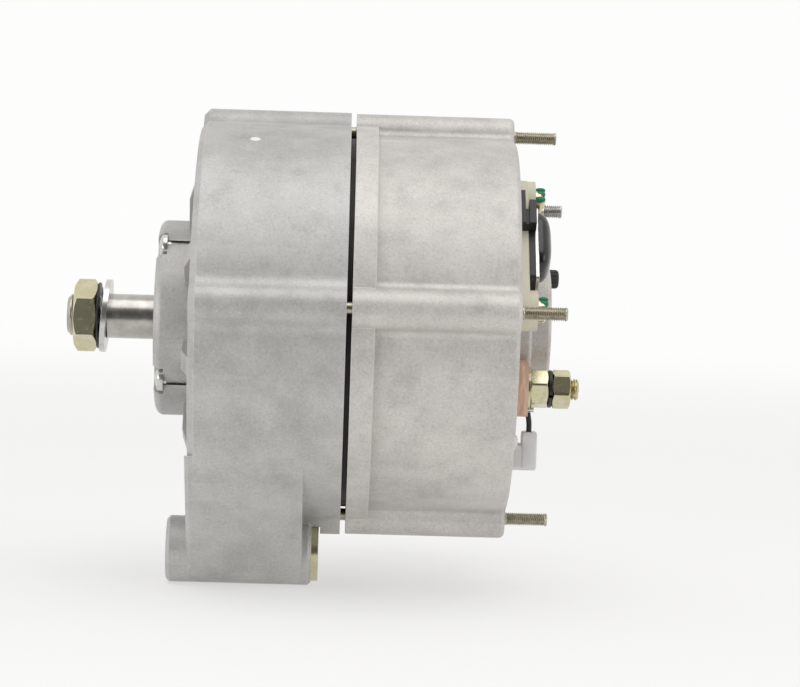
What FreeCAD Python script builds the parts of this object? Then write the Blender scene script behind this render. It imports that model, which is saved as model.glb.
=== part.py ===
import FreeCAD, Part
import math
import os
import Sketcher

# A claw-pole alternator on its side: shaft along X, drive end towards -X, +Z up.
# The origin is on the rotor axis at the drive hub's front face. Lengths are millimetres.
# Each piece is drawn with the pivot lug straight down, then the whole is turned by "clocking".

SIZES = {
    "Layout along the shaft": {
        "hub_height": 15.0,
        "front_depth": 56.6,
        "joint_gap": 2.0,
        "rear_depth": 60.8,
        "front_spigot": 23.0,
        "rear_spigot": 6.3,
        "clocking": 7.0,
    },
    "Drive end housing": {
        "front_skin": 5.1,
        "front_lobe_radius": 7.7,
        "lobe_blend": 7.0,
        "front_wall": 6.0,
        "front_winding_room": 2.7,
        "rim_chamfer": 2.4,
        "hub_radius": 37.3,
        "hub_edge_radius": 3.0,
        "shaft_hole_radius": 10.5,
        "hub_lip": 4.0,
        "window_count": 8,
        "window_inner": 42.5,
        "window_outer": 66.0,
        "spoke_width": 9.0,
        "window_corner": 3.0,
        "gusset_rise": 3.6,
        "gusset_reach": 22.0,
        "gusset_width": 7.0,
        "notch_width": 12.7,
        "notch_depth": 4.0,
        "hub_screw_radius": 34.7,
        "hub_screw_angle": 45.0,
    },
    "Pivot lug and adjusting ear": {
        "lug_below_stack": 17.7,
        "lug_radius": 12.6,
        "lug_front_reach": 9.1,
        "lug_length": 55.1,
        "lug_web_length": 42.4,
        "lug_edge": 1.2,
        "web_step": 1.0,
        "web_inset": 0.1,
        "web_front_bevel": 1.2,
        "pivot_hole_radius": 6.1,
        "bush_radius": 11.0,
        "bush_length": 22.0,
        "bush_stand_out": 2.6,
        "bush_room": 0.5,
        "ear_angle": 30.0,
        "ear_reach": 92.0,
        "ear_radius": 11.0,
        "ear_length": 16.0,
        "ear_hole_radius": 5.25,
        "ear_foot": 17.0,
    },
    "Slip ring end housing": {
        "band_skin": 4.9,
        "rear_skin": 1.3,
        "rear_lobe_radius": 7.4,
        "rear_lobe_blend": 3.5,
        "band_width": 8.3,
        "rear_winding_room": 1.5,
        "rear_wall": 6.0,
        "rear_edge_radius": 2.0,
        "rear_hub_radius": 28.0,
        "rear_hub_step": 7.2,
        "rear_boss_radius": 24.2,
        "rear_boss_height": 14.7,
        "rear_window_count": 4,
        "rear_window_inner": 36.0,
        "rear_window_outer": 60.0,
        "rear_window_half_angle": 12.5,
        "rear_window_first": 70.0,
        "rear_window_pitch": 32.0,
    },
    "Bearings": {
        "race_wall": 3.4,
        "front_bearing_radius": 23.5,
        "front_bearing_width": 14.0,
        "rear_bearing_radius": 20.0,
        "rear_bearing_width": 12.0,
        "rear_bearing_setback": 0.7,
        "front_ball_radius": 4.3,
        "rear_ball_radius": 3.3,
        "ball_count": 8,
        "ball_clearance": 0.1,
        "cage_wall": 1.2,
        "seat_clearance": 0.03,
        "race_relief": 0.8,
        "retainer_radius": 40.0,
        "retainer_thickness": 3.0,
    },
    "Shaft": {
        "seat_radius": 8.5,
        "core_radius": 9.5,
        "thread_radius": 8.0,
        "seat_reach": 19.4,
        "shaft_reach": 34.8,
        "shaft_chamfer": 1.4,
        "nut_flats": 24.0,
        "nut_thickness": 8.8,
        "nut_reach": 32.1,
        "bevel_angle": 33.0,
        "bevel_inset": 0.2,
        "spring_washer_radius": 13.2,
        "spring_washer_thickness": 0.9,
        "washer_radius": 14.0,
        "washer_thickness": 2.0,
        "washer_tilt": 4.5,
        "washer_hole_clearance": 0.6,
    },
    "Rotor": {
        "air_gap": 0.4,
        "pole_disc": 11.0,
        "coil_space": 34.0,
        "claws": 6,
        "claw_root_half_angle": 13.5,
        "claw_tip_half_angle": 6.5,
        "claw_root_depth": 12.5,
        "claw_tip_depth": 4.5,
        "hub_of_poles_radius": 21.0,
        "coil_claw_gap": 3.1,
        "bobbin_wall": 1.4,
        "slip_ring_radius": 15.5,
        "slip_ring_wall": 2.0,
        "slip_ring_width": 8.0,
        "slip_ring_gap": 4.0,
        "slip_ring_start": 103.0,
        "slip_hub_overlap": 3.0,
        "core_end": 128.0,
        "thrust_ring_radius": 13.0,
    },
    "Stator": {
        "stator_radius": 70.5,
        "stator_bore_radius": 50.0,
        "slots": 36,
        "yoke_depth": 6.0,
        "slot_width": 5.2,
        "slot_mouth": 2.4,
        "tooth_tip": 1.6,
        "liner": 0.25,
        "overhang": 14.0,
        "overhang_past_bore": 3.0,
        "overhang_past_slots": 1.0,
        "overhang_round": 3.0,
    },
    "Through bolts": {
        "bolt_radius": 2.5,
        "bolt_stack_gap": 0.5,
        "bolt_shank_radius": 2.3,
        "thread_setback": 0.5,
        "bolt_head_radius": 4.8,
        "bolt_head_height": 3.4,
        "bolt_counterbore": 5.0,
        "bolt_stand_out": 16.4,
        "bolt_end_chamfer": 0.5,
        "hole_clearance": 0.25,
    },
    "Rectifier": {
        "positive_sink_station": 113.0,
        "negative_sink_station": 121.0,
        "sink_thickness": 3.0,
        "sink_inner": 32.0,
        "sink_outer": 62.0,
        "sink_from": 202.0,
        "sink_to": 351.0,
        "diode_radius": 6.0,
        "diode_height": 4.0,
        "diode_setback": 1.0,
        "diode_circle": 41.0,
        "diode_pitch": 40.0,
        "diode_first": 240.0,
        "board_station": 103.5,
        "board_thickness": 1.6,
        "board_inner": 34.0,
        "small_diode_radius": 2.6,
        "small_diode_length": 6.0,
        "post_radius": 4.0,
        "rectifier_screw_circle": 55.0,
        "rectifier_screw_first": 235.0,
        "rectifier_screw_pitch": 40.0,
        "rectifier_screw_radius": 2.0,
        "small_head_radius": 3.8,
        "small_head_height": 2.6,
    },
    "Battery terminal": {
        "terminal_circle": 40.7,
        "terminal_angle": 217.6,
        "terminal_radius": 4.0,
        "insulator_length": 20.0,
        "insulator_width": 18.0,
        "insulator_thickness": 5.3,
        "terminal_washer_radius": 8.0,
        "terminal_washer_thickness": 1.0,
        "terminal_nut_flats": 13.0,
        "terminal_nut_thickness": 6.7,
        "terminal_spring_radius": 7.0,
        "terminal_spring_thickness": 1.5,
        "inner_nut_turn": 49.0,
        "outer_nut_turn": 20.0,
        "terminal_slot_turn": 20.0,
        "insulator_round": 1.5,
        "insulator_sleeve_wall": 1.4,
        "terminal_head_overhang": 2.5,
        "terminal_head_thickness": 3.0,
        "terminal_end": 3.2,
        "terminal_slot": 1.2,
        "terminal_slot_depth": 1.4,
    },
    "Regulator and brushes": {
        "regulator_angle": 57.0,
        "regulator_radius": 45.0,
        "regulator_screw_pitch": 52.0,
        "regulator_ear_radius": 7.6,
        "regulator_flange": 3.9,
        "regulator_ear_height": 7.0,
        "regulator_plate_thickness": 1.2,
        "regulator_plate_length": 33.0,
        "regulator_plate_width": 15.4,
        "regulator_body_height": 2.4,
        "cover_length": 23.0,
        "cover_width": 15.0,
        "cover_height": 5.2,
        "cover_corner": 6.5,
        "cover_round": 3.6,
        "plate_corner": 1.5,
        "plate_overhang": 0.6,
        "holder_inner": 25.0,
        "holder_outer": 47.0,
        "holder_half_width": 9.0,
        "opening_clearance": 0.6,
        "brush_width": 5.0,
        "brush_breadth": 7.0,
        "brush_length": 17.0,
        "brush_clearance": 0.15,
        "brush_gap": 0.25,
        "tunnel_end": 45.0,
        "spring_radius": 2.2,
        "spring_wire": 0.5,
        "regulator_screw_radius": 2.0,
        "regulator_head_radius": 4.4,
        "regulator_head_height": 4.2,
    },
    "Small terminals": {
        "shroud_station": 13.0,
        "shroud_length": 15.5,
        "shroud_short_length": 11.0,
        "shroud_wall": 2.6,
        "shroud_space": 1.4,
        "shroud_depth": 5.0,
        "lamp_stud_radius": 2.5,
        "lamp_stud_circle": 45.0,
        "lamp_stud_angle": 95.0,
        "lamp_stud_reach": 19.0,
        "lamp_base_radius": 5.5,
        "lamp_base_height": 8.0,
        "lamp_nut_flats": 8.0,
        "lamp_nut_thickness": 4.0,
        "phase_stud_circle": 31.8,
        "phase_stud_angle": 42.0,
        "phase_cap_radius": 3.7,
        "phase_cap_height": 3.9,
        "phase_cap_round": 1.2,
        "phase_socket_depth": 1.0,
        "phase_post_radius": 2.6,
        "phase_post_reach": 14.4,
        "blade_circle": 53.7,
        "blade_angle": 249.0,
        "blade_width": 6.3,
        "blade_thickness": 0.8,
        "blade_reach": 8.6,
        "connector_height": 14.6,
        "connector_breadth": 8.4,
        "connector_depth": 6.5,
        "connector_setback": 3.8,
        "lead_radius": 1.0,
        "lead_pin_radius": 1.2,
        "lead_pin_reach": 3.2,
        "lead_pin_offset": 6.5,
        "lead_pin_edge": 1.8,
        "lead_end_gap": 0.4,
        "lead_entry_offset": -2.6,
        "lead_bend_height": 3.6,
    },
}


class Size:
    """A number together with the sheet expression that gives it, so that both stay in step."""

    def __init__(self, value, text=None):
        self.value = value
        self.text = text or repr(value)
        self.fixed = text is None

    def joined(self, other, mark, value, swapped=False):
        other = size_of(other)
        first, second = (other, self) if swapped else (self, other)
        return Size(value, f"({first.text} {mark} {second.text})")

    def __add__(self, other):
        return self.joined(other, "+", self.value + size_of(other).value)

    def __radd__(self, other):
        return self + other

    def __sub__(self, other):
        return self.joined(other, "-", self.value - size_of(other).value)

    def __rsub__(self, other):
        return self.joined(other, "-", size_of(other).value - self.value, swapped=True)

    def __mul__(self, other):
        return self.joined(other, "*", self.value * size_of(other).value)

    def __rmul__(self, other):
        return self * other

    def __truediv__(self, other):
        return self.joined(other, "/", self.value / size_of(other).value)

    def __rtruediv__(self, other):
        return self.joined(other, "/", size_of(other).value / self.value, swapped=True)

    def __neg__(self):
        return Size(-self.value, f"(0 - {self.text})")


def size_of(value):
    """The value as a Size."""
    return value if isinstance(value, Size) else Size(float(value))


def cosine(angle):
    """Cosine of an angle in degrees."""
    angle = size_of(angle)
    return Size(math.cos(math.radians(angle.value)), f"cos({angle.text} * 1 deg)")


def sine(angle):
    """Sine of an angle in degrees."""
    angle = size_of(angle)
    return Size(math.sin(math.radians(angle.value)), f"sin({angle.text} * 1 deg)")


def tangent(angle):
    """Tangent of an angle in degrees."""
    angle = size_of(angle)
    return Size(math.tan(math.radians(angle.value)), f"tan({angle.text} * 1 deg)")


def root(size):
    """Square root of a size."""
    return Size(math.sqrt(size.value), f"sqrt({size.text})")


def polar(radius, angle):
    """The point at a radius and an angle about the shaft, measured from +Y towards +Z."""
    return radius * cosine(angle), radius * sine(angle)


def turned(point, angle, centre=(0, 0)):
    """A point drawn upright, turned about the shaft by an angle and moved to a centre."""
    across, up = size_of(point[0]), size_of(point[1])
    y = across * cosine(angle) - up * sine(angle)
    z = across * sine(angle) + up * cosine(angle)
    return centre[0] + y, centre[1] + z


doc = FreeCAD.newDocument("alternator")
sheet = doc.addObject("Spreadsheet::Sheet", "Sizes")
D = {}
row = 1
for heading, group in SIZES.items():
    sheet.set(f"A{row}", heading)
    row += 1
    for alias, number in group.items():
        sheet.set(f"A{row}", alias.replace("_", " "))
        sheet.set(f"B{row}", str(number))
        sheet.setAlias(f"B{row}", alias)
        D[alias] = Size(float(number), f"Sizes.{alias}")
        row += 1
doc.recompute()

# Radii that follow the stator stack, which the housings, the bolts and the lug enclose, and the
# field coil's, which lies under the claws.
D["slot_bottom_radius"] = D["stator_radius"] - D["yoke_depth"]
D["overhang_inner"] = D["stator_bore_radius"] + D["overhang_past_bore"]
D["overhang_outer"] = D["slot_bottom_radius"] + D["overhang_past_slots"]
D["front_radius"] = D["stator_radius"] + D["front_skin"]
D["front_cavity_radius"] = D["overhang_outer"] + D["front_winding_room"]
D["rear_band_radius"] = D["stator_radius"] + D["band_skin"]
D["rear_radius"] = D["stator_radius"] + D["rear_skin"]
D["rear_cavity_radius"] = D["overhang_outer"] + D["rear_winding_room"]
D["lug_drop"] = D["stator_radius"] + D["lug_below_stack"]
D["coil_radius"] = D["stator_bore_radius"] - D["air_gap"] - D["claw_root_depth"] - D["coil_claw_gap"]


class Places:
    """Stations along the shaft and the seats that several pieces share."""

    rim_front = D["hub_height"]
    front_joint = rim_front + D["front_depth"]
    rear_joint = front_joint + D["joint_gap"]
    rear_face = rear_joint + D["rear_depth"]
    stack_front = front_joint - D["front_spigot"]
    stack_rear = rear_joint + D["rear_spigot"]
    stack_length = stack_rear - stack_front
    bolt_radius = D["stator_radius"] + D["bolt_radius"] + D["bolt_stack_gap"]
    front_bearing = D["hub_lip"]
    front_bearing_end = front_bearing + D["front_bearing_width"]
    front_inner_wall = rim_front + D["front_wall"]
    rear_inner_wall = rear_face - D["rear_wall"]
    rear_bearing = rear_face + D["rear_bearing_setback"]
    rear_bearing_end = rear_bearing + D["rear_bearing_width"]
    rotor_middle = stack_front + stack_length / 2
    rotor_radius = D["stator_bore_radius"] - D["air_gap"]
    pole_front = rotor_middle - D["coil_space"] / 2 - D["pole_disc"]
    pole_rear = rotor_middle + D["coil_space"] / 2 + D["pole_disc"]
    ring_two = D["slip_ring_start"] + D["slip_ring_width"] + D["slip_ring_gap"]
    rings_end = ring_two + D["slip_ring_width"]
    lug_front = rim_front - D["lug_front_reach"]
    lug_rear = lug_front + D["lug_length"]
    insulator_top = rear_face + D["insulator_thickness"]


def plane_of(body, role):
    """One of the body's own origin planes or axes, found by its role."""
    return next(item for item in body.Origin.OriginFeatures if item.Role == role)


def new_body(label, group=False):
    """An empty body. A group may hold several separate solids."""
    body = doc.addObject("PartDesign::Body", label)
    body.Label = label
    body.AllowCompound = group
    return body


class Drawing:
    """A sketch on one of a body's own planes, drawn and constrained from sizes.

    A cross drawing lies across the shaft at a station, its x along +Y and its y along +Z.
    A side drawing lies along the shaft, its x along +X and its y along +Z, and may be turned
    about the shaft. A drawing from above has the role XY_Plane, its x along +X, its y along +Y.
    """

    def __init__(self, body, name, station=None, turn=None, role=None):
        self.sketch = body.newObject("Sketcher::SketchObject", name)
        role = role or ("XZ_Plane" if station is None else "YZ_Plane")
        self.sketch.AttachmentSupport = (plane_of(body, role), [""])
        self.sketch.MapMode = "FlatFace"
        if station is not None:
            station = size_of(station)
            self.sketch.AttachmentOffset = FreeCAD.Placement(
                FreeCAD.Vector(0, 0, station.value), FreeCAD.Rotation()
            )
            if not station.fixed:
                self.sketch.setExpression("AttachmentOffset.Base.z", station.text)
        if turn is not None:
            turn = size_of(turn)
            self.sketch.AttachmentOffset = FreeCAD.Placement(
                FreeCAD.Vector(), FreeCAD.Rotation(FreeCAD.Vector(1, 0, 0), turn.value)
            )
            if not turn.fixed:
                self.sketch.setExpression(
                    "AttachmentOffset.Rotation.Angle", f"{turn.text} * 1 deg"
                )

    def add(self, geometry, construction=False):
        return self.sketch.addGeometry(geometry, construction)

    def rule(self, *parts):
        self.sketch.addConstraint(Sketcher.Constraint(*parts))

    def measure(self, kind, where, size):
        """A dimension, bound to the sheet unless it is a plain number."""
        size = size_of(size)
        index = self.sketch.addConstraint(Sketcher.Constraint(kind, *where, size.value))
        if not size.fixed:
            self.sketch.setExpression(f"Constraints[{index}]", size.text)

    def place(self, where, x, y):
        """Fix a point of the drawing at x and y."""
        for kind, axis, size in (("DistanceX", -2, size_of(x)), ("DistanceY", -1, size_of(y))):
            if size.fixed and size.value == 0:
                self.rule("PointOnObject", *where, axis)
            else:
                self.measure(kind, where, size)

    def circle(self, x, y, radius):
        x, y, radius = size_of(x), size_of(y), size_of(radius)
        centre = FreeCAD.Vector(x.value, y.value, 0)
        shape = Part.Circle(centre, FreeCAD.Vector(0, 0, 1), radius.value)
        index = self.add(shape)
        if x.fixed and y.fixed and x.value == 0 and y.value == 0:
            self.rule("Coincident", index, 3, -1, 1)
        else:
            self.place((index, 3), x, y)
        self.measure("Radius", (index,), radius)
        return self

    def polygon(self, *corners):
        """A closed outline. A corner's third value, where it has one, is its rounding."""
        points = [
            FreeCAD.Vector(size_of(c[0]).value, size_of(c[1]).value, 0) for c in corners
        ]
        count = len(points)
        arrive, leave, rounds = list(points), list(points), {}
        for i, corner in enumerate(corners):
            if len(corner) == 3:
                arrive[i], leave[i], rounds[i] = rounded(
                    points[i - 1], points[i], points[(i + 1) % count], size_of(corner[2]).value
                )
        sides = [
            self.add(Part.LineSegment(leave[i], arrive[(i + 1) % count])) for i in range(count)
        ]
        for i, corner in enumerate(corners):
            before, after = sides[i - 1], sides[i]
            if i not in rounds:
                self.rule("Coincident", before, 2, after, 1)
                self.place((after, 1), corner[0], corner[1])
                continue
            arc, arriving, leaving = rounds[i]
            bend = self.add(arc)
            self.rule("Tangent", before, 2, bend, arriving)
            self.rule("Tangent", bend, leaving, after, 1)
            self.measure("Radius", (bend,), corner[2])
            tip = self.add(Part.Point(points[i]), True)
            self.rule("PointOnObject", tip, 1, before)
            self.rule("PointOnObject", tip, 1, after)
            self.place((tip, 1), corner[0], corner[1])
        return self

    def half_disc(self, x, y, radius):
        """A half circle with its straight side along x, to be turned into a ball."""
        x, y, radius = size_of(x), size_of(y), size_of(radius)
        centre = FreeCAD.Vector(x.value, y.value, 0)
        whole = Part.Circle(centre, FreeCAD.Vector(0, 0, 1), radius.value)
        arc = self.add(Part.ArcOfCircle(whole, 0, math.pi))
        left = FreeCAD.Vector(x.value - radius.value, y.value, 0)
        right = FreeCAD.Vector(x.value + radius.value, y.value, 0)
        line = self.add(Part.LineSegment(left, right))
        self.rule("Coincident", arc, 2, line, 1)
        self.rule("Coincident", arc, 1, line, 2)
        self.rule("Horizontal", line)
        self.rule("PointOnObject", arc, 3, line)
        self.place((arc, 3), x, y)
        self.measure("Radius", (arc,), radius)
        self.axis_edge = line + 1
        return self

    def chain_of_arcs(self, arcs):
        """A closed outline of arcs, each tangent to the next.

        Each arc is (centre x, centre y, radius, from angle, to angle, fixed centre), and runs
        backwards where its to angle is the smaller one.
        """
        ends = []
        for x, y, radius, start, stop, fixed in arcs:
            centre = FreeCAD.Vector(size_of(x).value, size_of(y).value, 0)
            whole = Part.Circle(centre, FreeCAD.Vector(0, 0, 1), size_of(radius).value)
            low, high = sorted((start, stop))
            index = self.add(Part.ArcOfCircle(whole, low, high))
            ends.append((index, 1, 2) if start < stop else (index, 2, 1))
        for i, (index, _, last) in enumerate(ends):
            following, first, _ = ends[(i + 1) % len(ends)]
            self.rule("Tangent", index, last, following, first)
        for (index, _, _), (x, y, radius, _, _, fixed) in zip(ends, arcs):
            self.measure("Radius", (index,), radius)
            if not fixed:
                continue
            if size_of(x).fixed and size_of(y).fixed:
                self.rule("Coincident", index, 3, -1, 1)
            else:
                self.place((index, 3), x, y)
        return self


def rounded(before, corner, after, radius):
    """Where a rounded corner starts and ends, with its arc and the arc's two ends in order."""
    back = (before - corner).normalize()
    ahead = (after - corner).normalize()
    half = back.getAngle(ahead) / 2
    reach = radius / math.tan(half)
    start = corner + back * reach
    stop = corner + ahead * reach
    centre = corner + (back + ahead).normalize() * (radius / math.sin(half))
    first = math.atan2(start.y - centre.y, start.x - centre.x)
    last = math.atan2(stop.y - centre.y, stop.x - centre.x)
    forward = (last - first) % (2 * math.pi) < math.pi
    low, high = (first, last) if forward else (last, first)
    whole = Part.Circle(centre, FreeCAD.Vector(0, 0, 1), radius)
    arc = Part.ArcOfCircle(whole, low, high if high > low else high + 2 * math.pi)
    return start, stop, (arc, 1, 2) if forward else (arc, 2, 1)


def bind(item, name, size):
    """Give a feature's property a size."""
    size = size_of(size)
    setattr(item, name, size.value)
    if not size.fixed:
        item.setExpression(name, size.text)


def pad(body, drawing, length):
    """Raise a cross drawing towards +X."""
    item = body.newObject("PartDesign::Pad", drawing.sketch.Name + "_pad")
    item.Profile = drawing.sketch
    bind(item, "Length", length)
    return item


def rib(body, drawing, width):
    """Raise a side drawing evenly to both sides of its plane."""
    item = body.newObject("PartDesign::Pad", drawing.sketch.Name + "_rib")
    item.Profile = drawing.sketch
    item.SideType = "Symmetric"
    bind(item, "Length", width)
    return item


def turn_up(body, drawing):
    """Turn a side drawing about the shaft line."""
    item = body.newObject("PartDesign::Revolution", drawing.sketch.Name + "_turned")
    item.Profile = drawing.sketch
    item.ReferenceAxis = (drawing.sketch, ["H_Axis"])
    item.Angle = 360
    return item


def checked_cut(body, item):
    """Recompute a cut and make sure that it took something away."""
    doc.recompute()
    before = item.BaseFeature.Shape.Volume
    if not item.Shape.Volume < before - 1e-6:
        raise ValueError(f"{body.Label}: {item.Name} cuts nothing")
    return item


def cut(body, drawing, depth):
    """Cut a cross drawing into the body, towards +X."""
    item = body.newObject("PartDesign::Pocket", drawing.sketch.Name + "_cut")
    item.Profile = drawing.sketch
    item.Reversed = True
    bind(item, "Length", depth)
    return checked_cut(body, item)


def cut_rib(body, drawing, width):
    """Cut a side drawing evenly to both sides of its plane."""
    item = body.newObject("PartDesign::Pocket", drawing.sketch.Name + "_cut")
    item.Profile = drawing.sketch
    item.SideType = "Symmetric"
    bind(item, "Length", width)
    return checked_cut(body, item)


def turn_out(body, drawing):
    """Turn a side drawing about the shaft line and take it away."""
    item = body.newObject("PartDesign::Groove", drawing.sketch.Name + "_groove")
    item.Profile = drawing.sketch
    item.ReferenceAxis = (drawing.sketch, ["H_Axis"])
    item.Angle = 360
    return checked_cut(body, item)


def repeat(body, features, count, angle=360.0):
    """Repeat features about the shaft. The angle is the whole turn or the span of all copies."""
    item = body.newObject("PartDesign::PolarPattern", features[-1].Name + "_ring")
    item.Originals = features
    item.Axis = (plane_of(body, "X_Axis"), [""])
    bind(item, "Angle", angle)
    count = size_of(count)
    item.Occurrences = int(count.value)
    if not count.fixed:
        item.setExpression("Occurrences", count.text)
    body.Tip = item
    return item


def edges_where(shape, test):
    """The names of the edges that pass a test."""
    return [f"Edge{i}" for i, edge in enumerate(shape.Edges, 1) if test(edge)]


def soften(body, kind, amount, test):
    """Round ("Fillet") or bevel ("Chamfer") the edges that pass a test."""
    doc.recompute()
    base = body.Tip
    item = body.newObject(f"PartDesign::{kind}", f"{body.Name}_{kind.lower()}")
    item.Base = (base, edges_where(base.Shape, test))
    bind(item, "Radius" if kind == "Fillet" else "Size", amount)
    body.Tip = item
    return item


def lies_at(station):
    """A test for edges that lie wholly at one station."""

    def test(edge):
        box = edge.BoundBox
        at = size_of(station).value
        return abs(box.XMin - at) < 1e-3 and abs(box.XMax - at) < 1e-3

    return test


def finish(body, turn=0.0, tilt=None):
    """Turn a finished body about the shaft by its own angle less the clocking of the whole."""
    angle = size_of(turn) - D["clocking"]
    place = FreeCAD.Rotation(FreeCAD.Vector(1, 0, 0), angle.value)
    body.Placement = FreeCAD.Placement(FreeCAD.Vector(), place)
    if tilt is None:
        body.setExpression("Placement.Rotation.Angle", f"{angle.text} * 1 deg")
    return body


def disc_box(x0, x1, r0, r1):
    """The four corners of a ring's side drawing."""
    return (x0, r0), (x1, r0), (x1, r1), (x0, r1)


def ring_body(label, x0, x1, r0, r1, name="section"):
    """A plain turned ring."""
    body = new_body(label)
    turn_up(body, Drawing(body, f"{label}_{name}").polygon(*disc_box(x0, x1, r0, r1)))
    return finish(body)


def hexagon(across_flats, centre=(0, 0), first=0.0):
    """The six corners of a hexagon, the first at an angle."""
    reach = size_of(across_flats) / 2 / cosine(30)
    corners = []
    for k in range(6):
        y, z = polar(reach, size_of(first) + 60 * k)
        corners.append((centre[0] + y, centre[1] + z))
    return corners


def lobed_outline(wall, lobe, circle, blend):
    """The arcs of a round wall with four bolt lobes, blended into it.

    The blend circle touches the wall and the lobe from outside, so its centre is the third
    corner of a triangle with sides wall + blend, lobe + blend and the bolt circle radius.
    """
    far = wall.value + blend.value
    near = lobe.value + blend.value
    reach = circle.value
    swing = math.acos((far**2 + reach**2 - near**2) / (2 * far * reach))
    arcs = []
    for k in range(4):
        middle = math.pi / 2 * k
        lobe_x, lobe_y = reach * math.cos(middle), reach * math.sin(middle)
        aims = []
        for side in (-1, 1):
            x = far * math.cos(middle + side * swing)
            y = far * math.sin(middle + side * swing)
            to_wall = math.atan2(-y, -x)
            to_lobe = math.atan2(lobe_y - y, lobe_x - x)
            aims.append((x, y, to_wall, to_lobe))
        (x0, y0, wall0, lobe0), (x1, y1, wall1, lobe1) = aims
        lobe0 = nearest_turn(lobe0, wall0)
        lobe1 = nearest_turn(lobe1, wall1)
        sweep_from = math.atan2(y0 - lobe_y, x0 - lobe_x)
        sweep_to = math.atan2(y1 - lobe_y, x1 - lobe_x)
        while sweep_to < sweep_from:
            sweep_to += 2 * math.pi
        centre = polar(circle, 90.0 * k)
        arcs.append((x0, y0, blend, wall0, lobe0, False))
        arcs.append((*centre, lobe, sweep_from, sweep_to, True))
        arcs.append((x1, y1, blend, lobe1, wall1, False))
        arcs.append((0, 0, wall, middle + swing, middle + math.pi / 2 - swing, True))
    return arcs


def nearest_turn(angle, other):
    """The angle, with whole turns added, that is nearest to the other one."""
    return other + (angle - other + math.pi) % (2 * math.pi) - math.pi


def front_housing():
    """The drive end casting: lobed drum, hub, windows, spokes, lug with its web, and ear."""
    body = new_body("drive_end_housing")
    wall = Drawing(body, "drive_wall", Places.rim_front)
    wall.chain_of_arcs(
        lobed_outline(D["front_radius"], D["front_lobe_radius"], Places.bolt_radius, D["lobe_blend"])
    )
    pad(body, wall, D["front_depth"])
    soften(body, "Chamfer", D["rim_chamfer"], lies_at(Places.rim_front))
    hub = Drawing(body, "drive_hub").polygon(
        (0, D["shaft_hole_radius"]),
        (Places.front_inner_wall, D["shaft_hole_radius"]),
        (Places.front_inner_wall, D["hub_radius"]),
        (0, D["hub_radius"], D["hub_edge_radius"]),
    )
    turn_up(body, hub)
    half_spoke = 180 / D["window_count"]
    gusset = Drawing(body, "spoke_gusset", turn=half_spoke).polygon(
        (Places.rim_front - D["gusset_rise"], D["hub_radius"] - D["gusset_width"]),
        (Places.front_inner_wall, D["hub_radius"] - D["gusset_width"]),
        (Places.front_inner_wall, D["hub_radius"] + D["gusset_reach"]),
        (Places.rim_front, D["hub_radius"] + D["gusset_reach"]),
        (Places.rim_front - D["gusset_rise"], D["hub_radius"] + D["gusset_reach"] / 2),
    )
    repeat(body, [rib(body, gusset, D["gusset_width"])], D["window_count"])
    lug(body)
    ear(body)
    cavity = Drawing(body, "drive_cavity").polygon(
        (Places.front_inner_wall, D["retainer_radius"] + D["seat_clearance"]),
        (Places.front_inner_wall, D["front_cavity_radius"], D["window_corner"]),
        (Places.stack_front, D["front_cavity_radius"]),
        (Places.stack_front, D["stator_radius"] + D["seat_clearance"]),
        (Places.front_joint + D["rim_chamfer"], D["stator_radius"] + D["seat_clearance"]),
        (Places.front_joint + D["rim_chamfer"], 0),
        (Places.front_bearing - D["race_relief"], 0),
        (Places.front_bearing - D["race_relief"], D["front_bearing_radius"] - D["race_wall"]),
        (Places.front_bearing, D["front_bearing_radius"] - D["race_wall"]),
        (Places.front_bearing, D["front_bearing_radius"] + D["seat_clearance"]),
        (Places.front_bearing_end, D["front_bearing_radius"] + D["seat_clearance"]),
        (Places.front_bearing_end, D["retainer_radius"] + D["seat_clearance"]),
    )
    turn_out(body, cavity)
    window = Drawing(body, "drive_window", Places.rim_front - D["gusset_rise"] - 1)
    reach_in, reach_out = D["window_inner"], D["window_outer"]
    lean = tangent(half_spoke)
    edge = D["spoke_width"] / 2 / cosine(half_spoke)
    window.polygon(
        (edge - reach_in * lean, reach_in, D["window_corner"]),
        (edge - reach_out * lean, reach_out, D["window_corner"]),
        (reach_out * lean - edge, reach_out, D["window_corner"]),
        (reach_in * lean - edge, reach_in, D["window_corner"]),
    )
    repeat(body, [cut(body, window, D["front_wall"] + D["gusset_rise"] + 2)], D["window_count"])
    notches(body)
    bolt_holes(body, "drive_bolt", Places.rim_front, D["front_depth"], D["bolt_counterbore"])
    return finish(body)


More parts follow.
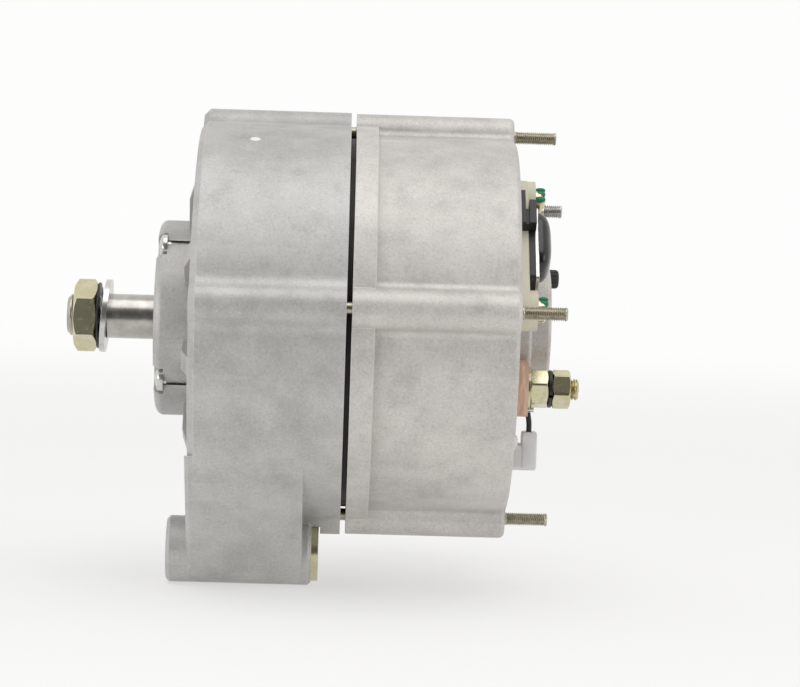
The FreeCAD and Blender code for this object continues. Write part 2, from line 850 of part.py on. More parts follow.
def lug(body):
    """The pivot boss under the housing, with its web, and the holes through it."""
    drop = -D["lug_drop"]
    big, small = D["front_radius"] - D["web_inset"], D["lug_radius"] - D["web_inset"]
    lean = (big - small) / D["lug_drop"]
    spread = root(1 - lean * lean)
    web_front = Places.rim_front - D["web_step"]
    web_rear = Places.rim_front + D["lug_web_length"]
    web = Drawing(body, "lug_web", web_front)
    web.polygon(
        (-big * spread, -big * lean),
        (-small * spread, drop - small * lean),
        (small * spread, drop - small * lean),
        (big * spread, -big * lean),
    )
    pad(body, web, web_rear - web_front)

    def is_flank_end(station):
        """A test for the two long edges where the web's flanks end at a station."""
        at_station = lies_at(station)

        def test(edge):
            return at_station(edge) and isinstance(edge.Curve, Part.Line) and edge.BoundBox.ZLength > reach

        reach = D["lug_drop"].value / 3
        return test

    soften(body, "Chamfer", D["web_front_bevel"], is_flank_end(web_front))
    boss = Drawing(body, "lug_boss", Places.lug_front).circle(0, drop, D["lug_radius"])
    pad(body, boss, D["lug_length"])

    def is_boss_end(edge):
        curve = edge.Curve
        at_end = min(
            abs(edge.BoundBox.XMin - Places.lug_front.value),
            abs(edge.BoundBox.XMin - Places.lug_rear.value),
        )
        return (
            isinstance(curve, Part.Circle)
            and abs(curve.Radius - D["lug_radius"].value) < 1e-3
            and at_end < 1e-3
            and edge.BoundBox.XLength < 1e-3
        )

    soften(body, "Chamfer", D["lug_edge"], is_boss_end)
    hole = Drawing(body, "pivot_hole", Places.lug_front).circle(0, drop, D["pivot_hole_radius"])
    cut(body, hole, D["lug_length"])
    seat_depth = D["bush_length"] - D["bush_stand_out"]
    seat = Drawing(body, "bush_seat", Places.lug_rear - seat_depth)
    seat.circle(0, drop, D["bush_radius"] + D["seat_clearance"])
    cut(body, seat, D["bush_length"] + D["bush_room"])


def ear(body):
    """The belt adjusting ear on the far side."""
    angle, reach = D["ear_angle"], D["ear_reach"]
    centre = polar(reach, angle)
    start = Places.stack_front - D["ear_length"] / 2
    inside = D["front_cavity_radius"] + 2
    outline = Drawing(body, "ear_outline", start)
    outline.polygon(
        turned((inside, -D["ear_foot"]), angle),
        (*turned((reach + D["ear_radius"], -D["ear_radius"]), angle), D["ear_radius"] * 0.98),
        (*turned((reach + D["ear_radius"], D["ear_radius"]), angle), D["ear_radius"] * 0.98),
        turned((inside, D["ear_foot"]), angle),
    )
    pad(body, outline, D["ear_length"])
    hole = Drawing(body, "ear_hole", start).circle(*centre, D["ear_hole_radius"])
    cut(body, hole, D["ear_length"])


def notches(body):
    """Four open notches in the hub's edge, where the retainer screws lie flush."""
    half = D["notch_width"] / 2
    notch = Drawing(body, "screw_notch", 0)
    at = D["hub_screw_angle"]
    floor = D["hub_screw_radius"] - half
    outside = D["hub_radius"] + half
    notch.polygon(
        (*turned((floor, -half), at), D["hub_edge_radius"]),
        turned((outside, -half), at),
        turned((outside, half), at),
        (*turned((floor, half), at), D["hub_edge_radius"]),
    )
    repeat(body, [cut(body, notch, D["notch_depth"])], 4)
    hole = Drawing(body, "screw_hole", D["notch_depth"])
    hole.circle(*polar(D["hub_screw_radius"], at), D["bolt_radius"] + D["hole_clearance"])
    repeat(body, [cut(body, hole, Places.front_bearing_end - D["notch_depth"])], 4)


def bolt_holes(body, name, start, depth, counterbore=None):
    """Four through holes in the lobes, with a seat for the heads where asked."""
    hole = Drawing(body, f"{name}_hole", start)
    hole.circle(Places.bolt_radius, 0, D["bolt_radius"] + D["hole_clearance"])
    repeat(body, [cut(body, hole, depth)], 4)
    if counterbore is not None:
        seat = Drawing(body, f"{name}_seat", start)
        seat.circle(Places.bolt_radius, 0, D["bolt_head_radius"] + D["hole_clearance"])
        repeat(body, [cut(body, seat, counterbore)], 4)


def rear_housing():
    """The slip ring end casting: lobed drum with its band, bearing hub and rear windows."""
    body = new_body("slip_ring_end_housing")
    outer = Drawing(body, "slip_wall", Places.rear_joint)
    outer.chain_of_arcs(
        lobed_outline(
            D["rear_radius"], D["rear_lobe_radius"], Places.bolt_radius, D["rear_lobe_blend"]
        )
    )
    pad(body, outer, D["rear_depth"])
    soften(body, "Fillet", D["rear_edge_radius"], lies_at(Places.rear_face))
    band = Drawing(body, "slip_band", Places.rear_joint).circle(0, 0, D["rear_band_radius"])
    pad(body, band, D["band_width"])
    boss = Drawing(body, "slip_boss").polygon(
        (Places.rear_inner_wall, 0),
        (Places.rear_face + D["rear_boss_height"], 0),
        (Places.rear_face + D["rear_boss_height"], D["rear_boss_radius"], 1.5),
        (Places.rear_face + D["rear_hub_step"], D["rear_boss_radius"]),
        (Places.rear_face + D["rear_hub_step"], D["rear_hub_radius"], 1.5),
        (Places.rear_inner_wall, D["rear_hub_radius"]),
    )
    turn_up(body, boss)
    cavity = Drawing(body, "slip_cavity").polygon(
        (Places.rear_joint - 1, 0),
        (Places.rear_joint - 1, D["stator_radius"] + D["seat_clearance"]),
        (Places.stack_rear, D["stator_radius"] + D["seat_clearance"]),
        (Places.stack_rear, D["rear_cavity_radius"]),
        (Places.rear_inner_wall, D["rear_cavity_radius"], D["window_corner"]),
        (Places.rear_inner_wall, D["rear_bearing_radius"] + D["seat_clearance"]),
        (Places.rear_bearing_end, D["rear_bearing_radius"] + D["seat_clearance"]),
        (Places.rear_bearing_end, D["rear_bearing_radius"] - D["race_wall"]),
        (Places.rear_bearing_end + D["race_relief"], D["rear_bearing_radius"] - D["race_wall"]),
        (Places.rear_bearing_end + D["race_relief"], 0),
    )
    turn_out(body, cavity)
    rear_windows(body)
    holder_opening(body)
    terminal_holes(body)
    bolt_holes(body, "slip_bolt", Places.rear_joint, D["rear_depth"])
    return finish(body)


def rear_windows(body):
    """Air windows on the far side of the rear wall, each a rounded sector."""
    half = D["rear_window_half_angle"]
    middle = D["rear_window_first"]
    inner, outer = D["rear_window_inner"], D["rear_window_outer"]
    window = Drawing(body, "rear_window", Places.rear_inner_wall - 1)
    window.polygon(
        (*polar(inner, middle - half), 1.5),
        (*polar(outer, middle - half), D["window_corner"]),
        (*polar(outer, middle + half), D["window_corner"]),
        (*polar(inner, middle + half), 1.5),
    )
    first = cut(body, window, D["rear_wall"] + 2)
    span = D["rear_window_pitch"] * (D["rear_window_count"] - 1)
    pattern = repeat(body, [first], D["rear_window_count"], span)
    pattern.Reversed = True


def upright_box(across, low, high, turn):
    """The corners of a box that stands on the shaft line at a turn from straight up."""
    return [
        turned((-across, low), turn),
        turned((across, low), turn),
        turned((across, high), turn),
        turned((-across, high), turn),
    ]


def holder_opening(body):
    """The opening through which the brush holder reaches the slip rings."""
    room = D["opening_clearance"]
    opening = Drawing(body, "holder_opening", Places.rear_inner_wall - 1)
    opening.polygon(
        *upright_box(
            D["holder_half_width"] + room,
            D["holder_inner"] - room,
            D["holder_outer"] + room,
            D["regulator_angle"],
        )
    )
    cut(body, opening, D["rear_wall"] + D["rear_hub_step"] + 2)
    for side in (-1, 1):
        hole = Drawing(body, f"regulator_hole_{side + 1}", Places.rear_inner_wall)
        centre = turned(
            (D["regulator_screw_pitch"] / 2 * side, D["regulator_radius"]), D["regulator_angle"]
        )
        hole.circle(*centre, D["regulator_screw_radius"] + D["hole_clearance"] / 2)
        cut(body, hole, D["rear_wall"])


def rectifier_points():
    """The three places where the rectifier is screwed to the rear wall."""
    return [
        polar(
            D["rectifier_screw_circle"],
            D["rectifier_screw_first"] + D["rectifier_screw_pitch"] * k,
        )
        for k in range(3)
    ]


def terminal_holes(body):
    """Holes in the rear wall for the terminals and the rectifier's screws."""
    through = Drawing(body, "terminal_hole", Places.rear_inner_wall)
    room = D["insulator_sleeve_wall"] + D["ball_clearance"]
    through.circle(*polar(D["terminal_circle"], D["terminal_angle"]), D["terminal_radius"] + room)
    cut(body, through, D["rear_wall"])
    small = Drawing(body, "rectifier_holes", Places.rear_inner_wall)
    for point in rectifier_points():
        small.circle(*point, D["rectifier_screw_radius"] + D["hole_clearance"])
    cut(body, small, D["rear_wall"])


def stator_core():
    """The laminated stack: a ring with semi-closed slots."""
    body = new_body("stator_core")
    stack = Drawing(body, "lamination", Places.stack_front)
    stack.circle(0, 0, D["stator_radius"]).circle(0, 0, D["stator_bore_radius"])
    pad(body, stack, Places.stack_length)
    half, mouth = D["slot_width"] / 2, D["slot_mouth"] / 2
    tip = D["stator_bore_radius"] + D["tooth_tip"]
    slot = Drawing(body, "slot", Places.stack_front).polygon(
        (-mouth, D["stator_bore_radius"] - 1),
        (mouth, D["stator_bore_radius"] - 1),
        (mouth, tip),
        (half, tip + half - mouth),
        (half, D["slot_bottom_radius"]),
        (-half, D["slot_bottom_radius"]),
        (-half, tip + half - mouth),
        (-mouth, tip),
    )
    repeat(body, [cut(body, slot, Places.stack_length)], D["slots"])
    return finish(body)


def stator_windings():
    """Copper in every slot, with the rounded overhangs at both ends of the stack."""
    body = new_body("stator_windings")
    half = D["slot_width"] / 2 - D["liner"]
    start = Places.stack_front - D["liner"]
    stop = Places.stack_rear + D["liner"]

    def overhang(name, near, far):
        turn_up(
            body,
            Drawing(body, name).polygon(
                (near, D["overhang_inner"]),
                (near, D["overhang_outer"]),
                (far, D["overhang_outer"], D["overhang_round"]),
                (far, D["overhang_inner"] + 1.5, D["overhang_round"]),
            ),
        )

    overhang("front_overhang", start, start - D["overhang"])
    bars = Drawing(body, "slot_bar", start).polygon(
        (-half, D["overhang_inner"] + 0.5),
        (half, D["overhang_inner"] + 0.5),
        (half, D["slot_bottom_radius"] - D["liner"]),
        (-half, D["slot_bottom_radius"] - D["liner"]),
    )
    repeat(body, [pad(body, bars, Places.stack_length + D["liner"] * 2)], D["slots"])
    overhang("rear_overhang", stop, Places.stack_rear + D["overhang"])
    return finish(body)


def claw_pole(label, side):
    """One pole half: a disc round the shaft with six claws that taper over the coil.

    Side -1 is the half at the drive end, and its claws point towards +X. Side +1 is its
    mirror image, turned by half a pole pitch.
    """
    body = new_body(label)
    middle = Places.rotor_middle
    inner = middle + side * D["coil_space"] / 2
    outer = inner + side * D["pole_disc"]
    tip = middle - side * (D["coil_space"] / 2 + D["pole_disc"] - 2)
    bore = D["core_radius"] + D["seat_clearance"]
    disc = Drawing(body, f"{label}_disc").polygon(
        (middle, bore),
        (outer, bore),
        (outer, D["coil_radius"] + 2),
        (inner, D["coil_radius"] + 2),
        (inner, D["hub_of_poles_radius"]),
        (middle, D["hub_of_poles_radius"]),
    )
    turn_up(body, disc)
    offset = 0.0 if side < 0 else 30.0

    def claw_section(name, station, half_angle, depth):
        """A claw cut across: a wedge from the rotor's rim down to a depth below it."""
        outer_reach = Places.rotor_radius + 3
        inner_reach = Places.rotor_radius - depth
        return Drawing(body, f"{label}_{name}", station).polygon(
            turned((-inner_reach * sine(half_angle), inner_reach), offset),
            turned((inner_reach * sine(half_angle), inner_reach), offset),
            turned((outer_reach * sine(half_angle), outer_reach), offset),
            turned((-outer_reach * sine(half_angle), outer_reach), offset),
        )

    root_angle, tip_angle = D["claw_root_half_angle"], D["claw_tip_half_angle"]
    arm = claw_section("arm", inner if side > 0 else outer, root_angle, D["claw_root_depth"] + 6)
    arm_pad = pad(body, arm, D["pole_disc"])
    root = claw_section("root", inner, root_angle, D["claw_root_depth"])
    end = claw_section("tip", tip, tip_angle, D["claw_tip_depth"])
    claw = body.newObject("PartDesign::AdditiveLoft", f"{label}_claw")
    claw.Profile = root.sketch
    claw.Sections = [end.sketch]
    claw.Ruled = True
    repeat(body, [arm_pad, claw], D["claws"])
    turned_down = Drawing(body, f"{label}_turned").polygon(
        (middle - D["coil_space"], Places.rotor_radius),
        (middle + D["coil_space"], Places.rotor_radius),
        (middle + D["coil_space"], Places.rotor_radius + 9),
        (middle - D["coil_space"], Places.rotor_radius + 9),
    )
    turn_out(body, turned_down)
    return finish(body)


def shaft():
    """The rotor shaft, turned in steps, with a bevel at each end."""
    body = new_body("rotor_shaft")
    bevel = D["shaft_chamfer"]
    step = bevel / 2
    profile = Drawing(body, "shaft_profile").polygon(
        (-D["shaft_reach"], 0),
        (-D["shaft_reach"], D["thread_radius"] - bevel),
        (bevel - D["shaft_reach"], D["thread_radius"]),
        (-D["seat_reach"] - step, D["thread_radius"]),
        (-D["seat_reach"], D["seat_radius"]),
        (Places.front_bearing_end, D["seat_radius"]),
        (Places.front_bearing_end, D["core_radius"]),
        (D["core_end"], D["core_radius"]),
        (D["core_end"], D["seat_radius"]),
        (Places.rear_bearing_end - bevel, D["seat_radius"]),
        (Places.rear_bearing_end - step, D["seat_radius"] - step),
        (Places.rear_bearing_end - step, 0),
    )
    turn_up(body, profile)
    return finish(body)


def shaft_nut():
    """The hexagon nut on the shaft's thread."""
    body = new_body("shaft_nut")
    blank = Drawing(body, "shaft_nut_hexagon", -D["nut_reach"])
    blank.polygon(*hexagon(D["nut_flats"], first=D["clocking"] + 30))
    pad(body, blank, D["nut_thickness"])
    nut_bevels(body, -D["nut_reach"], D["nut_thickness"], D["nut_flats"])
    hole = Drawing(body, "shaft_nut_hole", -D["nut_reach"])
    hole.circle(0, 0, D["thread_radius"] + D["seat_clearance"])
    cut(body, hole, D["nut_thickness"])
    return finish(body)


def nut_bevels(body, start, thickness, flats):
    """Turn the corners of the shaft nut away at both ends, by a cone of bevel_angle."""
    reach = flats / 2 / cosine(30)
    inside = flats / 2 - D["bevel_inset"]
    drop = (reach - inside) * tangent(D["bevel_angle"])
    end = start + thickness
    for name, near, far in (("front", start, start + drop), ("back", end, end - drop)):
        bevel = Drawing(body, f"{body.Name}_{name}_bevel").polygon(
            (near, inside),
            (near, reach + 1),
            (far, reach + 1),
            (far, reach),
        )
        turn_out(body, bevel)


def loose_washer():
    """The flat washer, which leans a little on the thread."""
    body = new_body("shaft_washer")
    half = D["washer_thickness"] / 2
    inner = D["thread_radius"] + D["washer_hole_clearance"]
    section = Drawing(body, "washer_section").polygon(*disc_box(-half, half, inner, D["washer_radius"]))
    turn_up(body, section)
    finish(body)
    lean = FreeCAD.Rotation(FreeCAD.Vector(0, 1, 0), D["washer_tilt"].value)
    lean_room = D["washer_radius"] * sine(D["washer_tilt"])
    station = D["nut_thickness"] - D["nut_reach"] + D["spring_washer_thickness"] + half + lean_room
    body.Placement = FreeCAD.Placement(FreeCAD.Vector(station.value, 0, 0), lean)
    body.setExpression("Placement.Base.x", station.text)
    body.setExpression("Placement.Rotation.Angle", f"{D['washer_tilt'].text} * 1 deg")
    return body


def bearing(name, start):
    """Outer race, inner race, ball set and cage of a deep groove ball bearing."""
    width = D[f"{name}_bearing_width"]
    outer = D[f"{name}_bearing_radius"]
    ball = D[f"{name}_ball_radius"]
    inner = D["seat_radius"] + D["seat_clearance"]
    pitch = (inner + outer) / 2
    middle = start + width / 2
    track = ball + D["ball_clearance"]
    wall = D["race_wall"]
    for part, low, high in (
        ("outer_race", outer - wall, outer),
        ("inner_race", inner, inner + wall),
    ):
        body = new_body(f"{name}_bearing_{part}")
        race = Drawing(body, f"{body.Name}_section")
        turn_up(body, race.polygon(*disc_box(start, start + width, low, high)))
        turn_out(body, Drawing(body, f"{body.Name}_track").circle(middle, pitch, track))
        finish(body)
    balls = new_body(f"{name}_bearing_balls", group=True)
    half_round = Drawing(balls, f"{name}_ball")
    centre_z = pitch
    half_round.half_disc(middle, centre_z, ball)
    sphere = balls.newObject("PartDesign::Revolution", f"{name}_ball_turned")
    sphere.Profile = half_round.sketch
    sphere.ReferenceAxis = (half_round.sketch, [f"Edge{half_round.axis_edge}"])
    sphere.Angle = 360
    repeat(balls, [sphere], D["ball_count"])
    finish(balls)
    cage = new_body(f"{name}_bearing_cage")
    half = ball + D["cage_wall"]
    turn_up(cage, Drawing(cage, f"{name}_cage_section").polygon(
        *disc_box(middle - half, middle + half, pitch - D["cage_wall"], pitch + D["cage_wall"])
    ))
    doc.recompute()
    hole = Drawing(cage, f"{name}_cage_pocket", role="XY_Plane")
    hole.circle(middle, 0, ball + D["ball_clearance"])
    room = cage.newObject("PartDesign::Pocket", f"{name}_cage_pocket_cut")
    room.Profile = hole.sketch
    room.Reversed = True
    bind(room, "Length", outer)
    checked_cut(cage, room)
    repeat(cage, [room], D["ball_count"])
    finish(cage)


def off_axis_rod(body, name, centre, stations_and_radii):
    """Stack round pads on one centre, each from a station to the next with its radius."""
    made = []
    for k, (start, stop, radius) in enumerate(stations_and_radii):
        piece = Drawing(body, f"{name}_{k}", start).circle(*centre, radius)
        made.append(pad(body, piece, stop - start))
    return made


def through_bolts():
    """Four long bolts. The shank is a rolled bolt's, a little thinner than its thread."""
    body = new_body("through_bolts", group=True)
    seat = Places.rim_front + D["bolt_counterbore"]
    end = Places.rear_face + D["bolt_stand_out"]
    thread = Places.rear_face + D["thread_setback"]
    bevel = D["bolt_end_chamfer"]
    centre = (Places.bolt_radius, 0)
    parts = off_axis_rod(
        body,
        "through_bolt",
        centre,
        [
            (seat - D["bolt_head_height"], seat, D["bolt_head_radius"]),
            (seat, thread, D["bolt_shank_radius"]),
            (thread, end - bevel, D["bolt_radius"]),
            (end - bevel, end, D["bolt_radius"] - bevel),
        ],
    )
    repeat(body, parts, 4)
    return finish(body)


def hub_screws():
    """The screws that pull the bearing retainer against the hub."""
    body = new_body("retainer_screws", group=True)
    centre = polar(D["hub_screw_radius"], D["hub_screw_angle"])
    seat = D["notch_depth"]
    parts = off_axis_rod(
        body,
        "retainer_screw",
        centre,
        [
            (seat - D["bolt_head_height"], seat, D["bolt_head_radius"]),
            (seat, Places.front_inner_wall, D["bolt_radius"]),
        ],
    )
    repeat(body, parts, 4)
    return finish(body)


def bearing_retainer():
    """The plate behind the front bearing, with a hole for each hub screw."""
    body = new_body("bearing_retainer")
    plate = Drawing(body, "retainer_plate", Places.front_bearing_end)
    plate.circle(0, 0, D["retainer_radius"])
    plate.circle(0, 0, D["front_bearing_radius"] - D["race_wall"])
    pad(body, plate, D["retainer_thickness"])
    hole = Drawing(body, "retainer_hole", Places.front_bearing_end)
    hole.circle(*polar(D["hub_screw_radius"], D["hub_screw_angle"]), D["bolt_radius"] + D["seat_clearance"])
    repeat(body, [cut(body, hole, D["retainer_thickness"])], 4)
    return finish(body)


def pivot_bush():
    """The steel bush in the rear end of the lug."""
    body = new_body("pivot_bush")
    start = Places.lug_rear + D["bush_stand_out"] - D["bush_length"]
    sleeve = Drawing(body, "bush_sleeve", start)
    sleeve.circle(0, -D["lug_drop"], D["bush_radius"])
    sleeve.circle(0, -D["lug_drop"], D["pivot_hole_radius"])
    pad(body, sleeve, D["bush_length"])
    return finish(body)


def sector(name, body, station, inner, outer, start, stop):
    """A flat sector between two radii and two angles, drawn across the shaft."""
    drawing = Drawing(body, name, station)
    shape = []
    low, high = math.radians(start.value), math.radians(stop.value)
    for radius, a, b in ((inner, low, high), (outer, low, high)):
        whole = Part.Circle(FreeCAD.Vector(), FreeCAD.Vector(0, 0, 1), size_of(radius).value)
        shape.append(drawing.add(Part.ArcOfCircle(whole, a, b)))
    inside, outside = shape

    def spoke(angle):
        near = FreeCAD.Vector(math.cos(angle), math.sin(angle), 0) * size_of(inner).value
        far = FreeCAD.Vector(math.cos(angle), math.sin(angle), 0) * size_of(outer).value
        return drawing.add(Part.LineSegment(near, far))

    first, last = spoke(low), spoke(high)
    for line, end in ((first, 1), (last, 2)):
        drawing.rule("Coincident", line, 1, inside, end)
        drawing.rule("Coincident", line, 2, outside, end)
    for arc, radius in ((inside, inner), (outside, outer)):
        drawing.rule("Coincident", arc, 3, -1, 1)
        drawing.measure("Radius", (arc,), radius)
    for line, angle in ((first, start), (last, stop)):
        x, y = polar(size_of(inner), angle)
        drawing.measure("DistanceX", (line, 1), x)
        x, y = polar(size_of(outer), angle)
        drawing.measure("DistanceX", (line, 2), x)
    return drawing


def heat_sink(label, station, bores, holes):
    """A rectifier plate: a sector with bores for its diodes and holes for its screws."""
    body = new_body(label)
    span = (D["sink_inner"], D["sink_outer"], D["sink_from"], D["sink_to"])
    plate = sector(f"{label}_plate", body, station, *span)
    pad(body, plate, D["sink_thickness"])
    openings = Drawing(body, f"{label}_holes", station)
    for centre, radius in holes:
        openings.circle(*centre, radius)
    cut(body, openings, D["sink_thickness"])
    if bores:
        seats = Drawing(body, f"{label}_bores", station)
        for centre, radius in bores:
            seats.circle(*centre, radius)
        cut(body, seats, D["sink_thickness"])
    return finish(body)


def diode_points(shift=0.0):
    """The places of three diodes on a rectifier plate."""
    return [
        polar(D["diode_circle"], D["diode_first"] + D["diode_pitch"] * k + shift) for k in range(3)
    ]


def diodes(label, plate, points):
    """Three press-in diodes, each a cup in the plate that stands out on its front."""
    body = new_body(label, group=True)
    front = plate - D["diode_height"]
    back = plate + D["sink_thickness"] - D["diode_setback"]
    for k, centre in enumerate(points):
        off_axis_rod(body, f"{label}_{k}", centre, [(front, back, D["diode_radius"])])
    return finish(body)


def rectifier():
    """Two heat sinks on insulating posts, six power diodes and the exciter diode board."""
    screws = rectifier_points()
    terminal = polar(D["terminal_circle"], D["terminal_angle"])
    positive = diode_points()
    negative = diode_points(D["diode_pitch"] / 2)
    bore = D["diode_radius"] + D["seat_clearance"]
    clear = D["post_radius"] + D["seat_clearance"]
    heat_sink(
        "positive_heat_sink",
        D["positive_sink_station"],
        [(point, bore) for point in positive],
        [(point, clear) for point in screws] + [(terminal, D["terminal_radius"] + D["seat_clearance"])],
    )
    heat_sink(
        "negative_heat_sink",
        D["negative_sink_station"],
        [(point, bore) for point in negative],
        [(point, clear) for point in screws] + [(terminal, D["terminal_radius"] + 3)],
    )
    diodes("positive_diodes", D["positive_sink_station"], positive)
    diodes("negative_diodes", D["negative_sink_station"], negative)
    posts = new_body("rectifier_posts", group=True)
    for k, centre in enumerate(screws):
        outline = Drawing(posts, f"post_{k}", D["board_station"] + D["board_thickness"])
        outline.circle(*centre, D["post_radius"])
        outline.circle(*centre, D["rectifier_screw_radius"] + D["seat_clearance"])
        pad(posts, outline, Places.rear_inner_wall - D["board_station"] - D["board_thickness"])
    finish(posts)
    board = new_body("exciter_diode_board")
    plate = sector(
        "board_plate", board, D["board_station"], D["board_inner"], D["sink_outer"],
        D["sink_from"] + 28, D["sink_to"],
    )
    pad(board, plate, D["board_thickness"])
    holes = Drawing(board, "board_holes", D["board_station"])
    for point in screws:
        holes.circle(*point, D["rectifier_screw_radius"] + D["seat_clearance"])
    cut(board, holes, D["board_thickness"])
    finish(board)
    small = new_body("exciter_diodes", group=True)
    for k, centre in enumerate(diode_points(D["diode_pitch"] / 2)):
        off_axis_rod(
            small,
            f"exciter_diode_{k}",
            centre,
            [(D["board_station"] - D["small_diode_length"], D["board_station"], D["small_diode_radius"])],
        )
    finish(small)
    fixings = new_body("rectifier_screws", group=True)
    for k, centre in enumerate(screws):
        off_axis_rod(
            fixings,
            f"rectifier_screw_{k}",
            centre,
            [
                (D["board_station"] - 1, Places.rear_face, D["rectifier_screw_radius"]),
                (Places.rear_face, Places.rear_face + D["small_head_height"], D["small_head_radius"]),
            ],
        )
    finish(fixings)


def battery_terminal():
    """The main stud with its insulating plate, washers and two nuts."""
    centre = polar(D["terminal_circle"], D["terminal_angle"])
    hole = D["terminal_radius"] + D["seat_clearance"]
    plate = new_body("terminal_insulator")
    half_w, half_l = D["insulator_width"] / 2, D["insulator_length"] / 2
    upright = D["clocking"]
    outline = Drawing(plate, "insulator_outline", Places.rear_face)
    outline.polygon(
        (*turned((-half_w, -half_l), upright, centre), D["insulator_round"]),
        (*turned((half_w, -half_l), upright, centre), D["insulator_round"]),
        (*turned((half_w, half_l), upright, centre), D["insulator_round"]),
        (*turned((-half_w, half_l), upright, centre), D["insulator_round"]),
    )
    pad(plate, outline, D["insulator_thickness"])
    sleeve = Drawing(plate, "insulator_sleeve", Places.rear_inner_wall)
    sleeve.circle(*centre, D["terminal_radius"] + D["insulator_sleeve_wall"])
    pad(plate, sleeve, D["rear_wall"])
    bore = Drawing(plate, "insulator_bore", Places.rear_inner_wall).circle(*centre, hole)
    cut(plate, bore, D["rear_wall"] + D["insulator_thickness"])
    finish(plate)
    station = Places.insulator_top
    washer = new_body("terminal_washer")
    ring = Drawing(washer, "terminal_washer_ring", station)
    ring.circle(*centre, D["terminal_washer_radius"]).circle(*centre, hole)
    pad(washer, ring, D["terminal_washer_thickness"])
    finish(washer)
    station = station + D["terminal_washer_thickness"]
    station = terminal_nut("terminal_inner_nut", station, centre, D["inner_nut_turn"])
    spring = new_body("terminal_spring_washer")
    ring = Drawing(spring, "terminal_spring_ring", station)
    ring.circle(*centre, D["terminal_spring_radius"]).circle(*centre, hole)
    pad(spring, ring, D["terminal_spring_thickness"])
    finish(spring)
    station = station + D["terminal_spring_thickness"]
    station = terminal_nut("terminal_outer_nut", station, centre, D["outer_nut_turn"])
    stud = new_body("battery_stud")
    end = station + D["terminal_end"]
    off_axis_rod(
        stud,
        "battery_stud",
        centre,
        [
            (
                D["positive_sink_station"] - D["terminal_head_thickness"],
                D["positive_sink_station"],
                D["terminal_radius"] + D["terminal_head_overhang"],
            ),
            (D["positive_sink_station"], end, D["terminal_radius"]),
        ],
    )
    slot = Drawing(stud, "stud_slot", end - D["terminal_slot_depth"])
    half = D["terminal_slot"] / 2
    reach = D["terminal_radius"] + 1
    slot.polygon(
        turned((-reach, -half), D["terminal_slot_turn"], centre),
        turned((reach, -half), D["terminal_slot_turn"], centre),
        turned((reach, half), D["terminal_slot_turn"], centre),
        turned((-reach, half), D["terminal_slot_turn"], centre),
    )
    cut(stud, slot, D["terminal_slot_depth"])
    finish(stud)
    return end


def terminal_nut(label, station, centre, first):
    """A terminal nut at a station. Returns the station of its far side."""
    body = new_body(label)
    blank = Drawing(body, f"{label}_hexagon", station)
    blank.polygon(*hexagon(D["terminal_nut_flats"], centre, first))
    blank.circle(*centre, D["terminal_radius"] + D["seat_clearance"])
    pad(body, blank, D["terminal_nut_thickness"])
    finish(body)
    return station + D["terminal_nut_thickness"]


